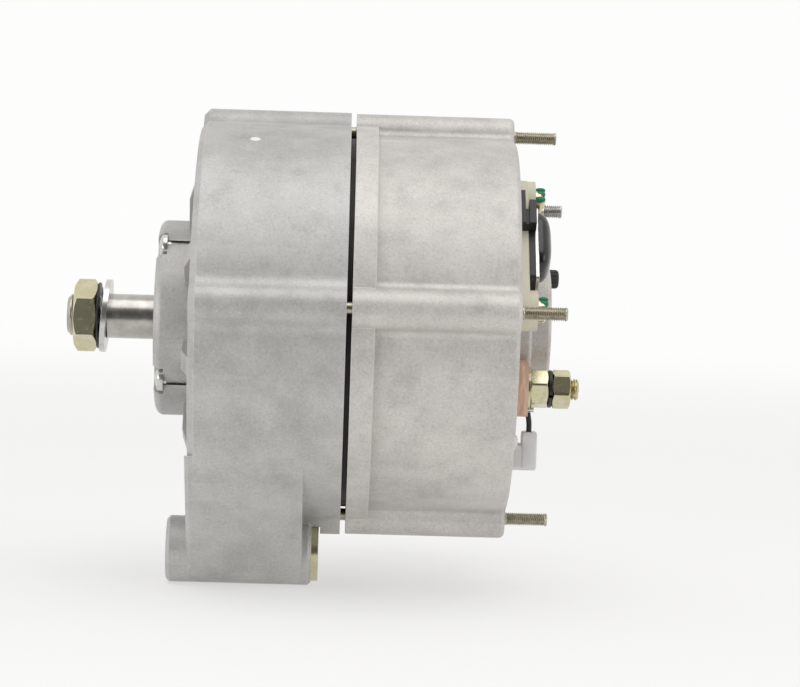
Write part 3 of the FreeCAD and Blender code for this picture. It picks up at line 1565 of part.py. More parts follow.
def regulator():
    """Brush holder, potted body, cooling plate and cover, drawn straight above the shaft.

    Every piece here is turned as one by the regulator angle.
    """
    turn = D["regulator_angle"]
    radius = D["regulator_radius"]
    arm = D["regulator_screw_pitch"] / 2
    face = Places.rear_face
    holder = new_body("brush_holder")
    inner_part = Drawing(holder, "holder_block", D["slip_ring_start"] - 2)
    inner_part.polygon(
        (-D["holder_half_width"], D["holder_inner"]),
        (D["holder_half_width"], D["holder_inner"]),
        (D["holder_half_width"], D["holder_outer"]),
        (-D["holder_half_width"], D["holder_outer"]),
    )
    pad(holder, inner_part, face - D["slip_ring_start"] + 2 + D["regulator_flange"])
    ear_round = D["regulator_ear_radius"]
    flange = Drawing(holder, "holder_flange", face)
    flange.polygon(
        (-arm - ear_round, radius - ear_round, ear_round * 0.98),
        (arm + ear_round, radius - ear_round, ear_round * 0.98),
        (arm + ear_round, radius + ear_round, ear_round * 0.98),
        (-arm - ear_round, radius + ear_round, ear_round * 0.98),
    )
    pad(holder, flange, D["regulator_flange"])
    ears = Drawing(holder, "holder_ears", face)
    ears.circle(-arm, radius, ear_round - 0.2).circle(arm, radius, ear_round - 0.2)
    pad(holder, ears, D["regulator_ear_height"])
    for side in (-1, 1):
        hole = Drawing(holder, f"holder_hole_{side + 1}", face)
        hole.circle(side * arm, radius, D["regulator_screw_radius"] + D["hole_clearance"] / 2)
        cut(holder, hole, D["regulator_ear_height"])
    for number, station in enumerate((D["slip_ring_start"], Places.ring_two), 1):
        tunnel = Drawing(holder, f"brush_tunnel_{number}")
        half = D["brush_width"] / 2 + D["brush_clearance"]
        middle = station + D["slip_ring_width"] / 2
        tunnel.polygon(
            (middle - half, D["holder_inner"] - 1),
            (middle + half, D["holder_inner"] - 1),
            (middle + half, D["tunnel_end"]),
            (middle - half, D["tunnel_end"]),
        )
        cut_rib(holder, tunnel, D["brush_breadth"] + D["brush_clearance"] * 2)
    finish(holder, turn)
    for name, station in (("front", D["slip_ring_start"]), ("rear", Places.ring_two)):
        brush_and_spring(name, station + D["slip_ring_width"] / 2, turn)
    potted = new_body("regulator_body")
    half_l, half_w = D["regulator_plate_length"] / 2, D["regulator_plate_width"] / 2
    box = Drawing(potted, "potted_outline", face + D["regulator_flange"])
    box.polygon(
        (-half_l, radius - half_w, D["plate_corner"]),
        (half_l, radius - half_w, D["plate_corner"]),
        (half_l, radius + half_w, D["plate_corner"]),
        (-half_l, radius + half_w, D["plate_corner"]),
    )
    pad(potted, box, D["regulator_body_height"])
    finish(potted, turn)
    plate = new_body("regulator_plate")
    station = face + D["regulator_flange"] + D["regulator_body_height"]
    long = half_l + D["plate_overhang"]
    sheet_metal = Drawing(plate, "plate_outline", station)
    sheet_metal.polygon(
        (-long, radius - half_w, D["plate_corner"]),
        (long, radius - half_w, D["plate_corner"]),
        (long, radius + half_w, D["plate_corner"]),
        (-long, radius + half_w, D["plate_corner"]),
    )
    pad(plate, sheet_metal, D["regulator_plate_thickness"])
    finish(plate, turn)
    cover = new_body("regulator_cover")
    station = station + D["regulator_plate_thickness"]
    half_l, half_w = D["cover_length"] / 2, D["cover_width"] / 2
    dome = Drawing(cover, "cover_outline", station)
    dome.polygon(
        (-half_l, radius - half_w, D["cover_corner"]),
        (half_l, radius - half_w, D["cover_corner"]),
        (half_l, radius + half_w, D["cover_corner"]),
        (-half_l, radius + half_w, D["cover_corner"]),
    )
    pad(cover, dome, D["cover_height"])
    soften(cover, "Fillet", D["cover_round"], lies_at(station + D["cover_height"]))
    finish(cover, turn)
    screws = new_body("regulator_screws", group=True)
    seat = face + D["regulator_ear_height"]
    for side in (-1, 1):
        off_axis_rod(
            screws,
            f"regulator_screw_{side + 1}",
            (side * arm, radius),
            [
                (Places.rear_inner_wall, seat, D["regulator_screw_radius"]),
                (seat, seat + D["regulator_head_height"], D["regulator_head_radius"]),
            ],
        )
    finish(screws, turn)
    connector_shroud(turn)


def brush_and_spring(name, middle, turn):
    """A carbon brush in its tunnel and the spring behind it."""
    brush = new_body(f"{name}_brush")
    half = D["brush_width"] / 2
    tip = D["slip_ring_radius"] + D["brush_gap"]
    top = tip + D["brush_length"]
    side_view = Drawing(brush, f"{name}_brush_side").polygon(
        (middle - half, tip - half),
        (middle + half, tip - half),
        (middle + half, top),
        (middle - half, top),
    )
    rib(brush, side_view, D["brush_breadth"])
    hollow = Drawing(brush, f"{name}_brush_hollow").polygon(
        (middle - half - 1, 0),
        (middle + half + 1, 0),
        (middle + half + 1, tip),
        (middle - half - 1, tip),
    )
    turn_out(brush, hollow)
    finish(brush, turn)
    spring = doc.addObject("Part::Cut", f"{name}_brush_spring")
    tubes = []
    for part, radius in (("outside", D["spring_radius"]), ("inside", D["spring_radius"] - D["spring_wire"])):
        tube = doc.addObject("Part::Cylinder", f"{name}_spring_{part}")
        bind(tube, "Radius", radius)
        bind(tube, "Height", D["tunnel_end"] - top)
        tube.Placement.Base = FreeCAD.Vector(middle.value, 0, top.value)
        tube.setExpression("Placement.Base.x", middle.text)
        tube.setExpression("Placement.Base.z", top.text)
        tubes.append(tube)
    spring.Base, spring.Tool = tubes
    spring.Label = f"{name}_brush_spring"
    finish(spring, turn)


def connector_shroud(turn):
    """The black shroud at the regulator's outer edge: two slabs on one base."""
    body = new_body("connector_shroud")
    station = Places.rear_face
    low = D["regulator_radius"] + D["regulator_ear_radius"] + 0.2
    high = low + D["shroud_depth"]
    middle = D["shroud_station"]
    half_long, half_short = D["shroud_length"] / 2, D["shroud_short_length"] / 2
    base = Drawing(body, "shroud_slab", station).polygon(
        (middle - half_long, low),
        (middle + half_long, low),
        (middle + half_long, high),
        (middle - half_long, high),
    )
    pad(body, base, D["shroud_wall"])
    web = Drawing(body, "shroud_web", station).polygon(
        (middle - half_long, low),
        (middle - half_short + 5, low),
        (middle - half_short + 5, high - 1),
        (middle - half_long, high - 1),
    )
    pad(body, web, D["shroud_wall"] * 2 + D["shroud_space"])
    slab = Drawing(body, "shroud_outer_slab", station + D["shroud_wall"] + D["shroud_space"]).polygon(
        (middle - half_long, low),
        (middle - half_long + D["shroud_short_length"], low),
        (middle - half_long + D["shroud_short_length"], high),
        (middle - half_long, high),
    )
    pad(body, slab, D["shroud_wall"])
    finish(body, turn)


def small_terminals():
    """The lamp terminal, the phase terminal with its cap, and the suppressor's plug and lead."""
    face = Places.rear_face
    centre = polar(D["lamp_stud_circle"], D["lamp_stud_angle"])
    base = new_body("lamp_terminal_insulator")
    post = Drawing(base, "lamp_base", face)
    post.circle(*centre, D["lamp_base_radius"])
    post.circle(*centre, D["lamp_stud_radius"] + D["seat_clearance"])
    pad(base, post, D["lamp_base_height"])
    finish(base)
    stud = new_body("lamp_terminal_stud")
    span = (face, face + D["lamp_stud_reach"], D["lamp_stud_radius"])
    off_axis_rod(stud, "lamp_stud", centre, [span])
    finish(stud)
    nut = new_body("lamp_terminal_nut")
    blank = Drawing(nut, "lamp_nut_hexagon", face + D["lamp_base_height"])
    blank.polygon(*hexagon(D["lamp_nut_flats"], centre, 10.0))
    blank.circle(*centre, D["lamp_stud_radius"] + D["seat_clearance"])
    pad(nut, blank, D["lamp_nut_thickness"])
    finish(nut)
    centre = polar(D["phase_stud_circle"], D["phase_stud_angle"])
    post = new_body("phase_terminal_post")
    start = face + D["phase_post_reach"]
    top = start + D["phase_socket_depth"]
    off_axis_rod(post, "phase_post", centre, [(face, top, D["phase_post_radius"])])
    finish(post)
    cap = new_body("phase_terminal_cap")
    end = start + D["phase_cap_height"]
    off_axis_rod(cap, "phase_cap", centre, [(start, end, D["phase_cap_radius"])])
    socket = Drawing(cap, "phase_cap_socket", start)
    socket.circle(*centre, D["phase_post_radius"] + D["seat_clearance"])
    cut(cap, socket, D["phase_socket_depth"])
    soften(cap, "Fillet", D["phase_cap_round"], lies_at(end))
    finish(cap)
    suppressor_plug(face)


def suppressor_plug(face):
    """A blade on the rear wall, the flag connector on it and the lead up to its pin."""
    upright = D["clocking"]
    centre = polar(D["blade_circle"], D["blade_angle"])
    half_w, half_t = D["blade_width"] / 2, D["blade_thickness"] / 2
    blade = new_body("suppressor_blade")
    outline = Drawing(blade, "blade_outline", face)
    outline.polygon(
        turned((-half_t, -half_w), upright, centre),
        turned((half_t, -half_w), upright, centre),
        turned((half_t, half_w), upright, centre),
        turned((-half_t, half_w), upright, centre),
    )
    pad(blade, outline, D["blade_reach"])
    finish(blade)
    plug = new_body("suppressor_connector")
    half_b = D["connector_breadth"] / 2
    low = -D["blade_width"] / 2 - 1.6
    high = low + D["connector_height"]
    end = face + D["connector_setback"] + D["connector_depth"]
    lower = Drawing(plug, "connector_lower", face + 0.5)
    lower.polygon(
        turned((-half_b, low), upright, centre),
        turned((half_b, low), upright, centre),
        turned((half_b, low + 9.6), upright, centre),
        turned((-half_b, low + 9.6), upright, centre),
    )
    pad(plug, lower, end - face - 0.5)
    upper = Drawing(plug, "connector_upper", face + D["connector_setback"])
    upper.polygon(
        turned((-half_b, low), upright, centre),
        turned((half_b, low), upright, centre),
        turned((half_b, high), upright, centre),
        turned((-half_b, high), upright, centre),
    )
    pad(plug, upper, D["connector_depth"])
    mouth = Drawing(plug, "connector_mouth", face + 0.5)
    room = 0.1
    mouth.polygon(
        turned((-half_t - room, -half_w - room), upright, centre),
        turned((half_t + room, -half_w - room), upright, centre),
        turned((half_t + room, half_w + room), upright, centre),
        turned((-half_t - room, half_w + room), upright, centre),
    )
    cut(plug, mouth, D["blade_reach"])
    finish(plug)
    entry_offset = D["lead_entry_offset"]
    suppressor_lead([turned((entry_offset, high + rise), upright, centre) for rise in lead_rises()], face)


def lead_rises():
    """How far above the connector the lead ends and bends."""
    return 0, D["lead_bend_height"]


def suppressor_lead(lower_points, face):
    """The black lead from the terminal's pin down into the connector, and the pin itself."""
    terminal = polar(D["terminal_circle"], D["terminal_angle"])
    offset = (D["lead_pin_offset"], D["lead_pin_edge"] - D["insulator_length"] / 2)
    pin_at = turned(offset, D["clocking"], terminal)
    top = Places.insulator_top
    pin = new_body("suppressor_lead_pin")
    off_axis_rod(pin, "lead_pin", pin_at, [(top, top + D["lead_pin_reach"], D["lead_pin_radius"])])
    finish(pin)
    below = D["lead_pin_radius"] + D["lead_end_gap"]
    under_pin = turned((offset[0], offset[1] - below), D["clocking"], terminal)
    at_pin = top + D["lead_radius"] + D["ball_clearance"]
    at_plug = face + D["connector_setback"] + D["connector_depth"] / 2
    stations = (at_pin, at_plug, at_plug)
    places = (under_pin, lower_points[1], lower_points[0])
    lead = doc.addObject("Part::Feature", "suppressor_lead")
    lead.Label = "suppressor_lead"
    route = [FreeCAD.Vector(x.value, y.value, z.value) for x, (y, z) in zip(stations, places)]
    lead.Shape = bent_tube(route, D["lead_radius"].value)
    finish(lead)


def bent_tube(points, radius):
    """A round tube along straight runs with a tangent arc at each inner point."""
    edges = []
    here = points[0]
    for i in range(1, len(points) - 1):
        back = points[i - 1] - points[i]
        ahead = points[i + 1] - points[i]
        reach = 0.45 * min(back.Length, ahead.Length)
        back, ahead = back.normalize(), ahead.normalize()
        first = points[i] + back * reach
        last = points[i] + ahead * reach
        half = back.getAngle(ahead) / 2
        bend = reach * math.tan(half)
        centre = points[i] + (back + ahead).normalize() * (bend / math.sin(half))
        top = centre + (points[i] - centre).normalize() * bend
        edges.append(Part.LineSegment(here, first).toShape())
        edges.append(Part.Arc(first, top, last).toShape())
        here = last
    edges.append(Part.LineSegment(here, points[-1]).toShape())
    path = Part.Wire(edges)
    ahead = edges[0].tangentAt(edges[0].FirstParameter)
    round_end = Part.Wire([Part.makeCircle(radius, points[0], ahead)])
    return path.makePipeShell([round_end], True, True)


def slip_rings():
    """Two rings on a moulded sleeve."""
    wall = D["slip_ring_radius"] - D["slip_ring_wall"]
    ring_body(
        "slip_ring_sleeve",
        D["slip_ring_start"] - D["slip_hub_overlap"],
        Places.rings_end + D["slip_hub_overlap"] - 1,
        D["core_radius"] + D["seat_clearance"],
        wall,
    )
    rings = new_body("slip_rings", group=True)
    for name, start in (("front_ring", D["slip_ring_start"]), ("rear_ring", Places.ring_two)):
        section = Drawing(rings, name).polygon(
            *disc_box(start, start + D["slip_ring_width"], wall + D["seat_clearance"], D["slip_ring_radius"])
        )
        turn_up(rings, section)
    finish(rings)


def field_coil():
    """The bobbin round the poles' cores and the coil wound on the bobbin."""
    half = D["coil_space"] / 2
    start, stop = Places.rotor_middle - half, Places.rotor_middle + half
    bobbin = new_body("coil_bobbin")
    wall, base = D["bobbin_wall"], D["hub_of_poles_radius"] + D["seat_clearance"]
    room = D["seat_clearance"]
    section = Drawing(bobbin, "bobbin_section").polygon(
        (start + room, base),
        (stop - room, base),
        (stop - room, D["coil_radius"]),
        (stop - room - wall, D["coil_radius"]),
        (stop - room - wall, base + wall),
        (start + room + wall, base + wall),
        (start + room + wall, D["coil_radius"]),
        (start + room, D["coil_radius"]),
    )
    turn_up(bobbin, section)
    finish(bobbin)
    room = room * 2
    ring_body(
        "field_coil", start + wall + room, stop - wall - room, base + wall + room, D["coil_radius"] - 0.6
    )


def shaft_collars():
    """The thrust ring behind the front bearing and the washers on the thread."""
    ring_body(
        "thrust_ring",
        Places.front_bearing_end,
        Places.pole_front,
        D["core_radius"] + D["seat_clearance"],
        D["thrust_ring_radius"],
    )
    start = D["nut_thickness"] - D["nut_reach"]
    ring_body(
        "shaft_spring_washer",
        start,
        start + D["spring_washer_thickness"],
        D["thread_radius"] + D["seat_clearance"],
        D["spring_washer_radius"],
    )


def build():
    front_housing()
    rear_housing()
    stator_core()
    stator_windings()
    shaft()
    claw_pole("front_pole", -1)
    claw_pole("rear_pole", 1)
    field_coil()
    shaft_collars()
    slip_rings()
    shaft_nut()
    loose_washer()
    bearing("front", Places.front_bearing)
    bearing("rear", Places.rear_bearing)
    bearing_retainer()
    hub_screws()
    through_bolts()
    pivot_bush()
    rectifier()
    battery_terminal()
    regulator()
    small_terminals()


def sub_parts():
    """Every finished piece: the bodies, the springs and the lead."""
    kinds = ("PartDesign::Body", "Part::Cut")
    return [item for item in doc.Objects if item.TypeId in kinds or item.Label == "suppressor_lead"]


build()
doc.recompute()
for item in doc.Objects:
    if "Invalid" in item.State or "Error" in item.State:
        raise ValueError(f"{item.Label} failed: {item.State}")
pieces = sub_parts()
for piece in pieces:
    if piece.Shape.isNull() or not piece.Shape.isValid() or not piece.Shape.Solids:
        raise ValueError(f"{piece.Label} has no valid solid")
os.makedirs("parts", exist_ok=True)
for piece in pieces:
    piece.Shape.exportStep(f"parts/{piece.Label}.step")
print(len(pieces), "pieces written")
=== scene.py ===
"""Looks of a claw-pole alternator head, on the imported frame.

Lengths are metres in the row frame: X along the shaft with the drive end at -X, +Z up, and the
origin on the rotor axis in the plane of the drive hub's front face.
"""

from __future__ import annotations

import logging
import math
from dataclasses import dataclass, field
from enum import Enum
from typing import Any, Sequence

import bmesh
import bpy
import numpy as np
from mathutils import Matrix, Vector


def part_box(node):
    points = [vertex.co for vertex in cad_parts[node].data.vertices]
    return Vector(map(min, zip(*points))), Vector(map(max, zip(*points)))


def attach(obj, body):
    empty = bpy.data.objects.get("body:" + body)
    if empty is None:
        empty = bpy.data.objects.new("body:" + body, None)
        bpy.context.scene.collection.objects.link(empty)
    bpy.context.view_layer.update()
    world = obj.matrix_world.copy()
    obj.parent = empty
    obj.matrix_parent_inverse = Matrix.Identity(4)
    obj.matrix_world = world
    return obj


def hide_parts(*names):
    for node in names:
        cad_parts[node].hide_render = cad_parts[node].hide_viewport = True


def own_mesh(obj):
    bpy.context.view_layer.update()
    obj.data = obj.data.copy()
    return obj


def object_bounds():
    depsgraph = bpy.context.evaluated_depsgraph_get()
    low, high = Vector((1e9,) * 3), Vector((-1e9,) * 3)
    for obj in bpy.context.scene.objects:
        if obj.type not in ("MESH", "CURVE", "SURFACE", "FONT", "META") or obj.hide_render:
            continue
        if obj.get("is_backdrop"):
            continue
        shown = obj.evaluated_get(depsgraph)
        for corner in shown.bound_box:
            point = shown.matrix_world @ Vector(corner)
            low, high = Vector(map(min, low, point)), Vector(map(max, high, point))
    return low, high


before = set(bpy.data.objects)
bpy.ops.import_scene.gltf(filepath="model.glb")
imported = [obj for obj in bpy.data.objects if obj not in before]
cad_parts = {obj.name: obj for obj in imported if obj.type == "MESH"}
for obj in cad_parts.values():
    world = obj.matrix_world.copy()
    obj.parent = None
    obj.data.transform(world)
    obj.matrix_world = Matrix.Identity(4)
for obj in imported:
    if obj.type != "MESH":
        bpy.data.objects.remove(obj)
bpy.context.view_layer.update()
LOG = logging.getLogger("alternator")

MM = 0.001
Colour = tuple[float, float, float]
Pair = tuple[float, float]

# The housings are turned this far about the shaft, as in the photograph.
CLOCKING = math.radians(-7.0)
# A thread's rows per pitch, and how far past the end of a plain shank it starts.
STEPS_PER_PITCH = 8
JUST_PAST = 0.01 * MM
# Points nearer than the first are merged, and faces thinner than the second are dissolved.
MERGED, FLATTENED = 0.002 * MM, 0.001 * MM
# A spring washer's steps round, and its bevel and the rise between its ends by its thickness.
RING_STEPS, RING_RIM = 72, 0.12
# Keeps a wire's first axis defined where its path crosses the X axis.
OFF_AXIS = np.array((1e-6, 2e-6, 3e-6))


class Body(Enum):
    """The frame's bodies that carry pieces of this script."""

    HOUSING = "housing"
    ROTOR = "rotor"


class Recess(Enum):
    """The drive cut into a screw's head."""

    CROSS = "cross"
    HEX = "hex"


class Signal:
    """A shader socket that adds its Math nodes when it is used in an expression."""

    def __init__(self, graph: "Graph", socket: bpy.types.NodeSocket) -> None:
        """Keep the socket and the graph that it belongs to."""
        self.graph = graph
        self.socket = socket

    def join(self, operation: str, *values: Any) -> "Signal":
        """Add one Math node.

        Args:
            operation: The Math node's operation.
            values: Its inputs in order, numbers or signals.

        Returns:
            The node's result.
        """
        return self.graph.node("ShaderNodeMath", {"operation": operation}, dict(enumerate(values)))

    def __add__(self, other: Any) -> "Signal":
        """Sum."""
        return self.join("ADD", self, other)

    def __radd__(self, other: Any) -> "Signal":
        """Sum, reflected."""
        return self.join("ADD", other, self)

    def __sub__(self, other: Any) -> "Signal":
        """Difference."""
        return self.join("SUBTRACT", self, other)

    def __rsub__(self, other: Any) -> "Signal":
        """Difference, reflected."""
        return self.join("SUBTRACT", other, self)

    def __mul__(self, other: Any) -> "Signal":
        """Product."""
        return self.join("MULTIPLY", self, other)

    def wave(self) -> "Signal":
        """Sine of the value."""
        return self.join("SINE", self)

    def clipped(self) -> "Signal":
        """The value, at most 1."""
        return self.join("MINIMUM", self, 1.0)

    def ramp(self, low: float, high: float) -> "Signal":
        """Rise smoothly from 0 at low to 1 at high.

        Args:
            low: Where the rise starts.
            high: Where it ends. It may be the smaller one.

        Returns:
            The smooth step.
        """
        limits = {"From Min": low, "From Max": high, "Value": self}
        return self.graph.node("ShaderNodeMapRange", {"interpolation_type": "SMOOTHSTEP"}, limits)


class Graph:
    """The node tree of a material or a world, written as expressions."""

    BEVEL_SAMPLES = 4
    NOISE_ROUGHNESS = 0.6
    EDGE_MATCH = (0.995, 0.86)

    def __init__(self, owner: bpy.types.Material | bpy.types.World) -> None:
        """Start an empty tree."""
        self.owner = owner
        owner.use_nodes = True
        self.tree = owner.node_tree
        self.tree.nodes.clear()
        kind = "World" if isinstance(owner, bpy.types.World) else "Material"
        self.output = self.tree.nodes.new(f"ShaderNodeOutput{kind}")

    def close(self, shader: "Signal") -> bpy.types.Material | bpy.types.World:
        """Link the last shader to the output and return the tree's owner."""
        self.tree.links.new(shader.socket, self.output.inputs[0])
        return self.owner

    def node(
        self,
        kind: str,
        settings: dict[str, Any] | None = None,
        inputs: dict[int | str, Any] | None = None,
        result: int | str = 0,
    ) -> Signal:
        """Add a node.

        Args:
            kind: The node's type.
            settings: Its own settings, set first.
            inputs: Values or signals for its sockets.
            result: Which output to return.

        Returns:
            The chosen output.
        """
        made = self.tree.nodes.new(kind)
        for name, value in (settings or {}).items():
            setattr(made, name, value)
        for key, value in (inputs or {}).items():
            self.feed(made.inputs[key], value)
        return Signal(self, made.outputs[result])

    def feed(self, socket: bpy.types.NodeSocket, value: Any) -> None:
        """Link a signal to a socket, or set the socket's own value."""
        if isinstance(value, Signal):
            self.tree.links.new(value.socket, socket)
        elif isinstance(value, tuple) and len(value) == 3 and socket.type == "RGBA":
            socket.default_value = (*value, 1.0)
        else:
            socket.default_value = value

    def place(self) -> Signal:
        """Object coordinates, in metres."""
        return self.node("ShaderNodeTexCoord", result="Object")

    def axis(self, name: str) -> Signal:
        """One object coordinate, X, Y or Z."""
        return self.node("ShaderNodeSeparateXYZ", inputs={0: self.place()}, result=name)

    def stretched(self, scale: tuple[float, float, float]) -> Signal:
        """Object coordinates, scaled on each axis."""
        return self.node("ShaderNodeMapping", inputs={"Vector": self.place(), "Scale": scale})

    def noise(self, scale: float, detail: float = 3.0, where: Signal | None = None) -> Signal:
        """Fractal noise from about 0 to 1.

        Args:
            scale: Features per metre.
            detail: Octaves.
            where: Coordinates, or None for the object's own.

        Returns:
            The noise's value.
        """
        inputs = {"Scale": scale, "Detail": detail, "Roughness": self.NOISE_ROUGHNESS}
        return self.node("ShaderNodeTexNoise", inputs={"Vector": where or self.place(), **inputs})

    def cells(self, scale: float) -> Signal:
        """Distance to the nearest of scattered points, in cells."""
        return self.node("ShaderNodeTexVoronoi", inputs={"Vector": self.place(), "Scale": scale})

    def mix(self, factor: Any, first: Any, second: Any) -> Signal:
        """Mix two colours."""
        return self.node("ShaderNodeMix", {"data_type": "RGBA"}, {0: factor, 6: first, 7: second}, 2)

    def edge(self, width: float) -> Signal:
        """How near an edge or a corner lies, from 0 on a flat to 1 on the edge.

        The normal is averaged over a small radius; where it leaves the true one, an edge is near.
        """
        normals = {0: self.rounded_normal(width), 1: self.node("ShaderNodeNewGeometry", result="Normal")}
        match = self.node("ShaderNodeVectorMath", {"operation": "DOT_PRODUCT"}, normals, "Value")
        return match.ramp(*self.EDGE_MATCH)

    def bump(self, height: Signal, depth: float, normal: Signal | None = None) -> Signal:
        """A normal from a height.

        Args:
            height: The height, from 0 to 1.
            depth: What 1 means, in metres.
            normal: The normal to start from.

        Returns:
            The changed normal.
        """
        inputs: dict[int | str, Any] = {"Height": height, "Distance": depth, "Strength": 1.0}
        if normal is not None:
            inputs["Normal"] = normal
        return self.node("ShaderNodeBump", inputs=inputs)

    def rounded_normal(self, width: float) -> Signal:
        """A normal that rolls over the edges, as on a casting."""
        return self.node("ShaderNodeBevel", {"samples": self.BEVEL_SAMPLES}, {"Radius": width})

    def ray(self, kind: str) -> Signal:
        """1 on rays of one kind, such as Is Camera Ray."""
        return self.node("ShaderNodeLightPath", result=kind)

    def glow(self, colour: Colour, strength: float = 1.0) -> Signal:
        """A shader that glows in one colour."""
        return self.node("ShaderNodeEmission", inputs={"Color": colour, "Strength": strength})

    def blend(self, factor: Any, first: Signal, second: Signal) -> Signal:
        """Mix two shaders."""
        return self.node("ShaderNodeMixShader", inputs={0: factor, 1: first, 2: second})

    def shade(self, **sockets: Any) -> bpy.types.Material:
        """Finish with a Principled shader, its sockets named with underscores for spaces."""
        named = {name.replace("_", " "): value for name, value in sockets.items()}
        return self.close(self.node("ShaderNodeBsdfPrincipled", inputs=named))


@dataclass(frozen=True)
class Finish:
    """A surface finish, made into a material once. Its kinds say how."""

    name: str
    colour: Colour
    roughness: float = 0.5
    metallic: float = 0.0

    def material(self) -> bpy.types.Material:
        """The finish's material, built on its first use."""
        title = f"{self.name}_finish"
        known = bpy.data.materials.get(title)
        return known or self.build(Graph(bpy.data.materials.new(title)))

    def build(self, graph: Graph) -> bpy.types.Material:
        """Build the material, which each kind of finish does in its own way."""
        raise NotImplementedError

    def between(self, graph: Graph, share: Signal, low: float, high: float) -> Signal:
        """The colour, going from one shade at share 0 to another at share 1."""
        return graph.mix(share, shade_of(self.colour, low), shade_of(self.colour, high))

    def layered(self, graph: Graph, tone: Any, *layers: tuple[Signal, float]) -> Signal:
        """Lay shades of the colour over a tone, in order.

        Args:
            graph: The material's graph.
            tone: What lies below.
            layers: Pairs of a share from 0 to 1 and how much lighter than the colour its shade is.

        Returns:
            The tone with all layers.
        """
        for share, gain in layers:
            tone = graph.mix(share, tone, shade_of(self.colour, gain))
        return tone

    def close(
        self, graph: Graph, tone: Signal, rough: Signal, normal: Signal, **more: Any
    ) -> bpy.types.Material:
        """Finish the material with its shader, which may have more sockets set."""
        return graph.shade(Base_Color=tone, Roughness=rough, Metallic=self.metallic, Normal=normal, **more)


@dataclass(frozen=True)
class CastFinish(Finish):
    """Tumbled die-cast aluminium: a sandy grain, clouds and small pits, with edges painted lighter as a
    highlight.
    """

    cloud_scale: float = 22.0
    blotch_scale: float = 95.0
    grain_scale: float = 1150.0
    sand_scale: float = 2600.0
    pit_scale: float = 520.0
    scuff_scale: float = 55.0
    relief: float = 0.055 * MM
    edge_width: float = 0.6 * MM
    edge_highlight_gain: float = 1.55

    def build(self, graph: Graph) -> bpy.types.Material:
        """Mix clouds, blotches, grain, pits and scuffs over the base colour, paint the edges lighter as a
        highlight, and roll them.
        """
        clouds = graph.noise(self.cloud_scale, 3.0)
        blotch = graph.noise(self.blotch_scale, 5.0)
        grain = graph.noise(self.grain_scale, 4.0)
        sand = graph.noise(self.sand_scale, 2.0)
        pits = graph.cells(self.pit_scale).ramp(0.2, 0.06)
        scuffs = graph.noise(self.scuff_scale, 6.0, graph.stretched((0.25, 3.0, 3.0))).ramp(0.6, 0.7)
        # Painted highlight: edges and corners are painted lighter, as if lit.
        painted_edge_highlight = graph.edge(self.edge_width)
        tone = self.layered(
            graph,
            self.between(graph, clouds.ramp(0.3, 0.7), 0.9, 1.09),
            (blotch.ramp(0.42, 0.68) * 0.4, 1.25),
            (blotch.ramp(0.45, 0.3) * 0.4, 0.72),
            (grain.ramp(0.5, 0.74) * 0.34, 1.45),
            (grain.ramp(0.5, 0.28) * 0.38, 0.62),
            (pits * 0.2, 0.4),
            (scuffs * 0.16, 1.5),
            (painted_edge_highlight * 0.8, self.edge_highlight_gain),
        )
        rough = grain * 0.2 + clouds * 0.08 + (self.roughness - 0.14) - painted_edge_highlight * 0.08
        height = grain * 0.8 + sand * 0.3 + blotch * 0.5 - pits * 0.5
        normal = graph.bump(height, self.relief, graph.rounded_normal(self.edge_width))
        return self.close(graph, tone, rough, normal, Specular_IOR_Level=0.4)


@dataclass(frozen=True)
class PlatedFinish(Finish):
    """Passivated zinc on steel: a faint drift between two tones, light tool marks."""

    second: Colour = (0.5, 0.5, 0.5)
    patch_scale: float = 160.0
    stain_scale: float = 600.0
    mark_scale: float = 1800.0
    relief: float = 0.004 * MM
    edge_width: float = 0.35 * MM
    rounding: float = 0.25 * MM

    def build(self, graph: Graph) -> bpy.types.Material:
        """Drift between the two plating tones, with brighter rubbed edges."""
        drift = graph.noise(self.patch_scale, 2.0)
        stain = graph.noise(self.stain_scale, 4.0).ramp(0.5, 0.75)
        marks = graph.noise(self.mark_scale, 2.0)
        plated = graph.mix(drift.ramp(0.3, 0.72), self.colour, self.second)
        tone = self.layered(graph, plated, (stain * 0.3, 0.5), (graph.edge(self.edge_width) * 0.45, 1.35))
        rough = marks * 0.12 + stain * 0.08 + (self.roughness - 0.08)
        normal = graph.bump(marks, self.relief, graph.rounded_normal(self.rounding))
        return self.close(graph, tone, rough, normal)


@dataclass(frozen=True)
class ThreadFinish(Finish):
    """Plated threads: stains and a fine grain, with the cut edges left sharp."""

    stain_scale: float = 420.0
    mark_scale: float = 2200.0
    relief: float = 0.003 * MM

    def build(self, graph: Graph) -> bpy.types.Material:
        """Stains and a fine grain over one plating tone, with no rolled edges."""
        stain = graph.noise(self.stain_scale, 4.0).ramp(0.42, 0.7)
        marks = graph.noise(self.mark_scale, 2.0)
        tone = self.layered(graph, self.colour, (stain * 0.4, 0.55))
        rough = marks * 0.1 + stain * 0.1 + (self.roughness - 0.06)
        return self.close(graph, tone, rough, graph.bump(marks, self.relief))


@dataclass(frozen=True)
class TurnedFinish(Finish):
    """Steel or copper turned on a lathe: fine rings along the shaft."""

    pitch: float = 0.16 * MM
    waver: float = 5.0
    waver_scale: float = 300.0
    drift_scale: float = 120.0
    relief: float = 0.0015 * MM

    def build(self, graph: Graph) -> bpy.types.Material:
        """Rings are sines of the X coordinate, broken up by noise."""
        waver = graph.noise(self.waver_scale) * self.waver
        rings = (graph.axis("X") * (2.0 * math.pi / self.pitch) + waver).wave()
        drift = graph.noise(self.drift_scale)
        tone = self.between(graph, drift.ramp(0.35, 0.7), 0.82, 1.1)
        rough = rings * 0.05 + drift * 0.12 + (self.roughness - 0.06)
        return self.close(graph, tone, rough, graph.bump(rings * 0.5 + 0.5, self.relief))


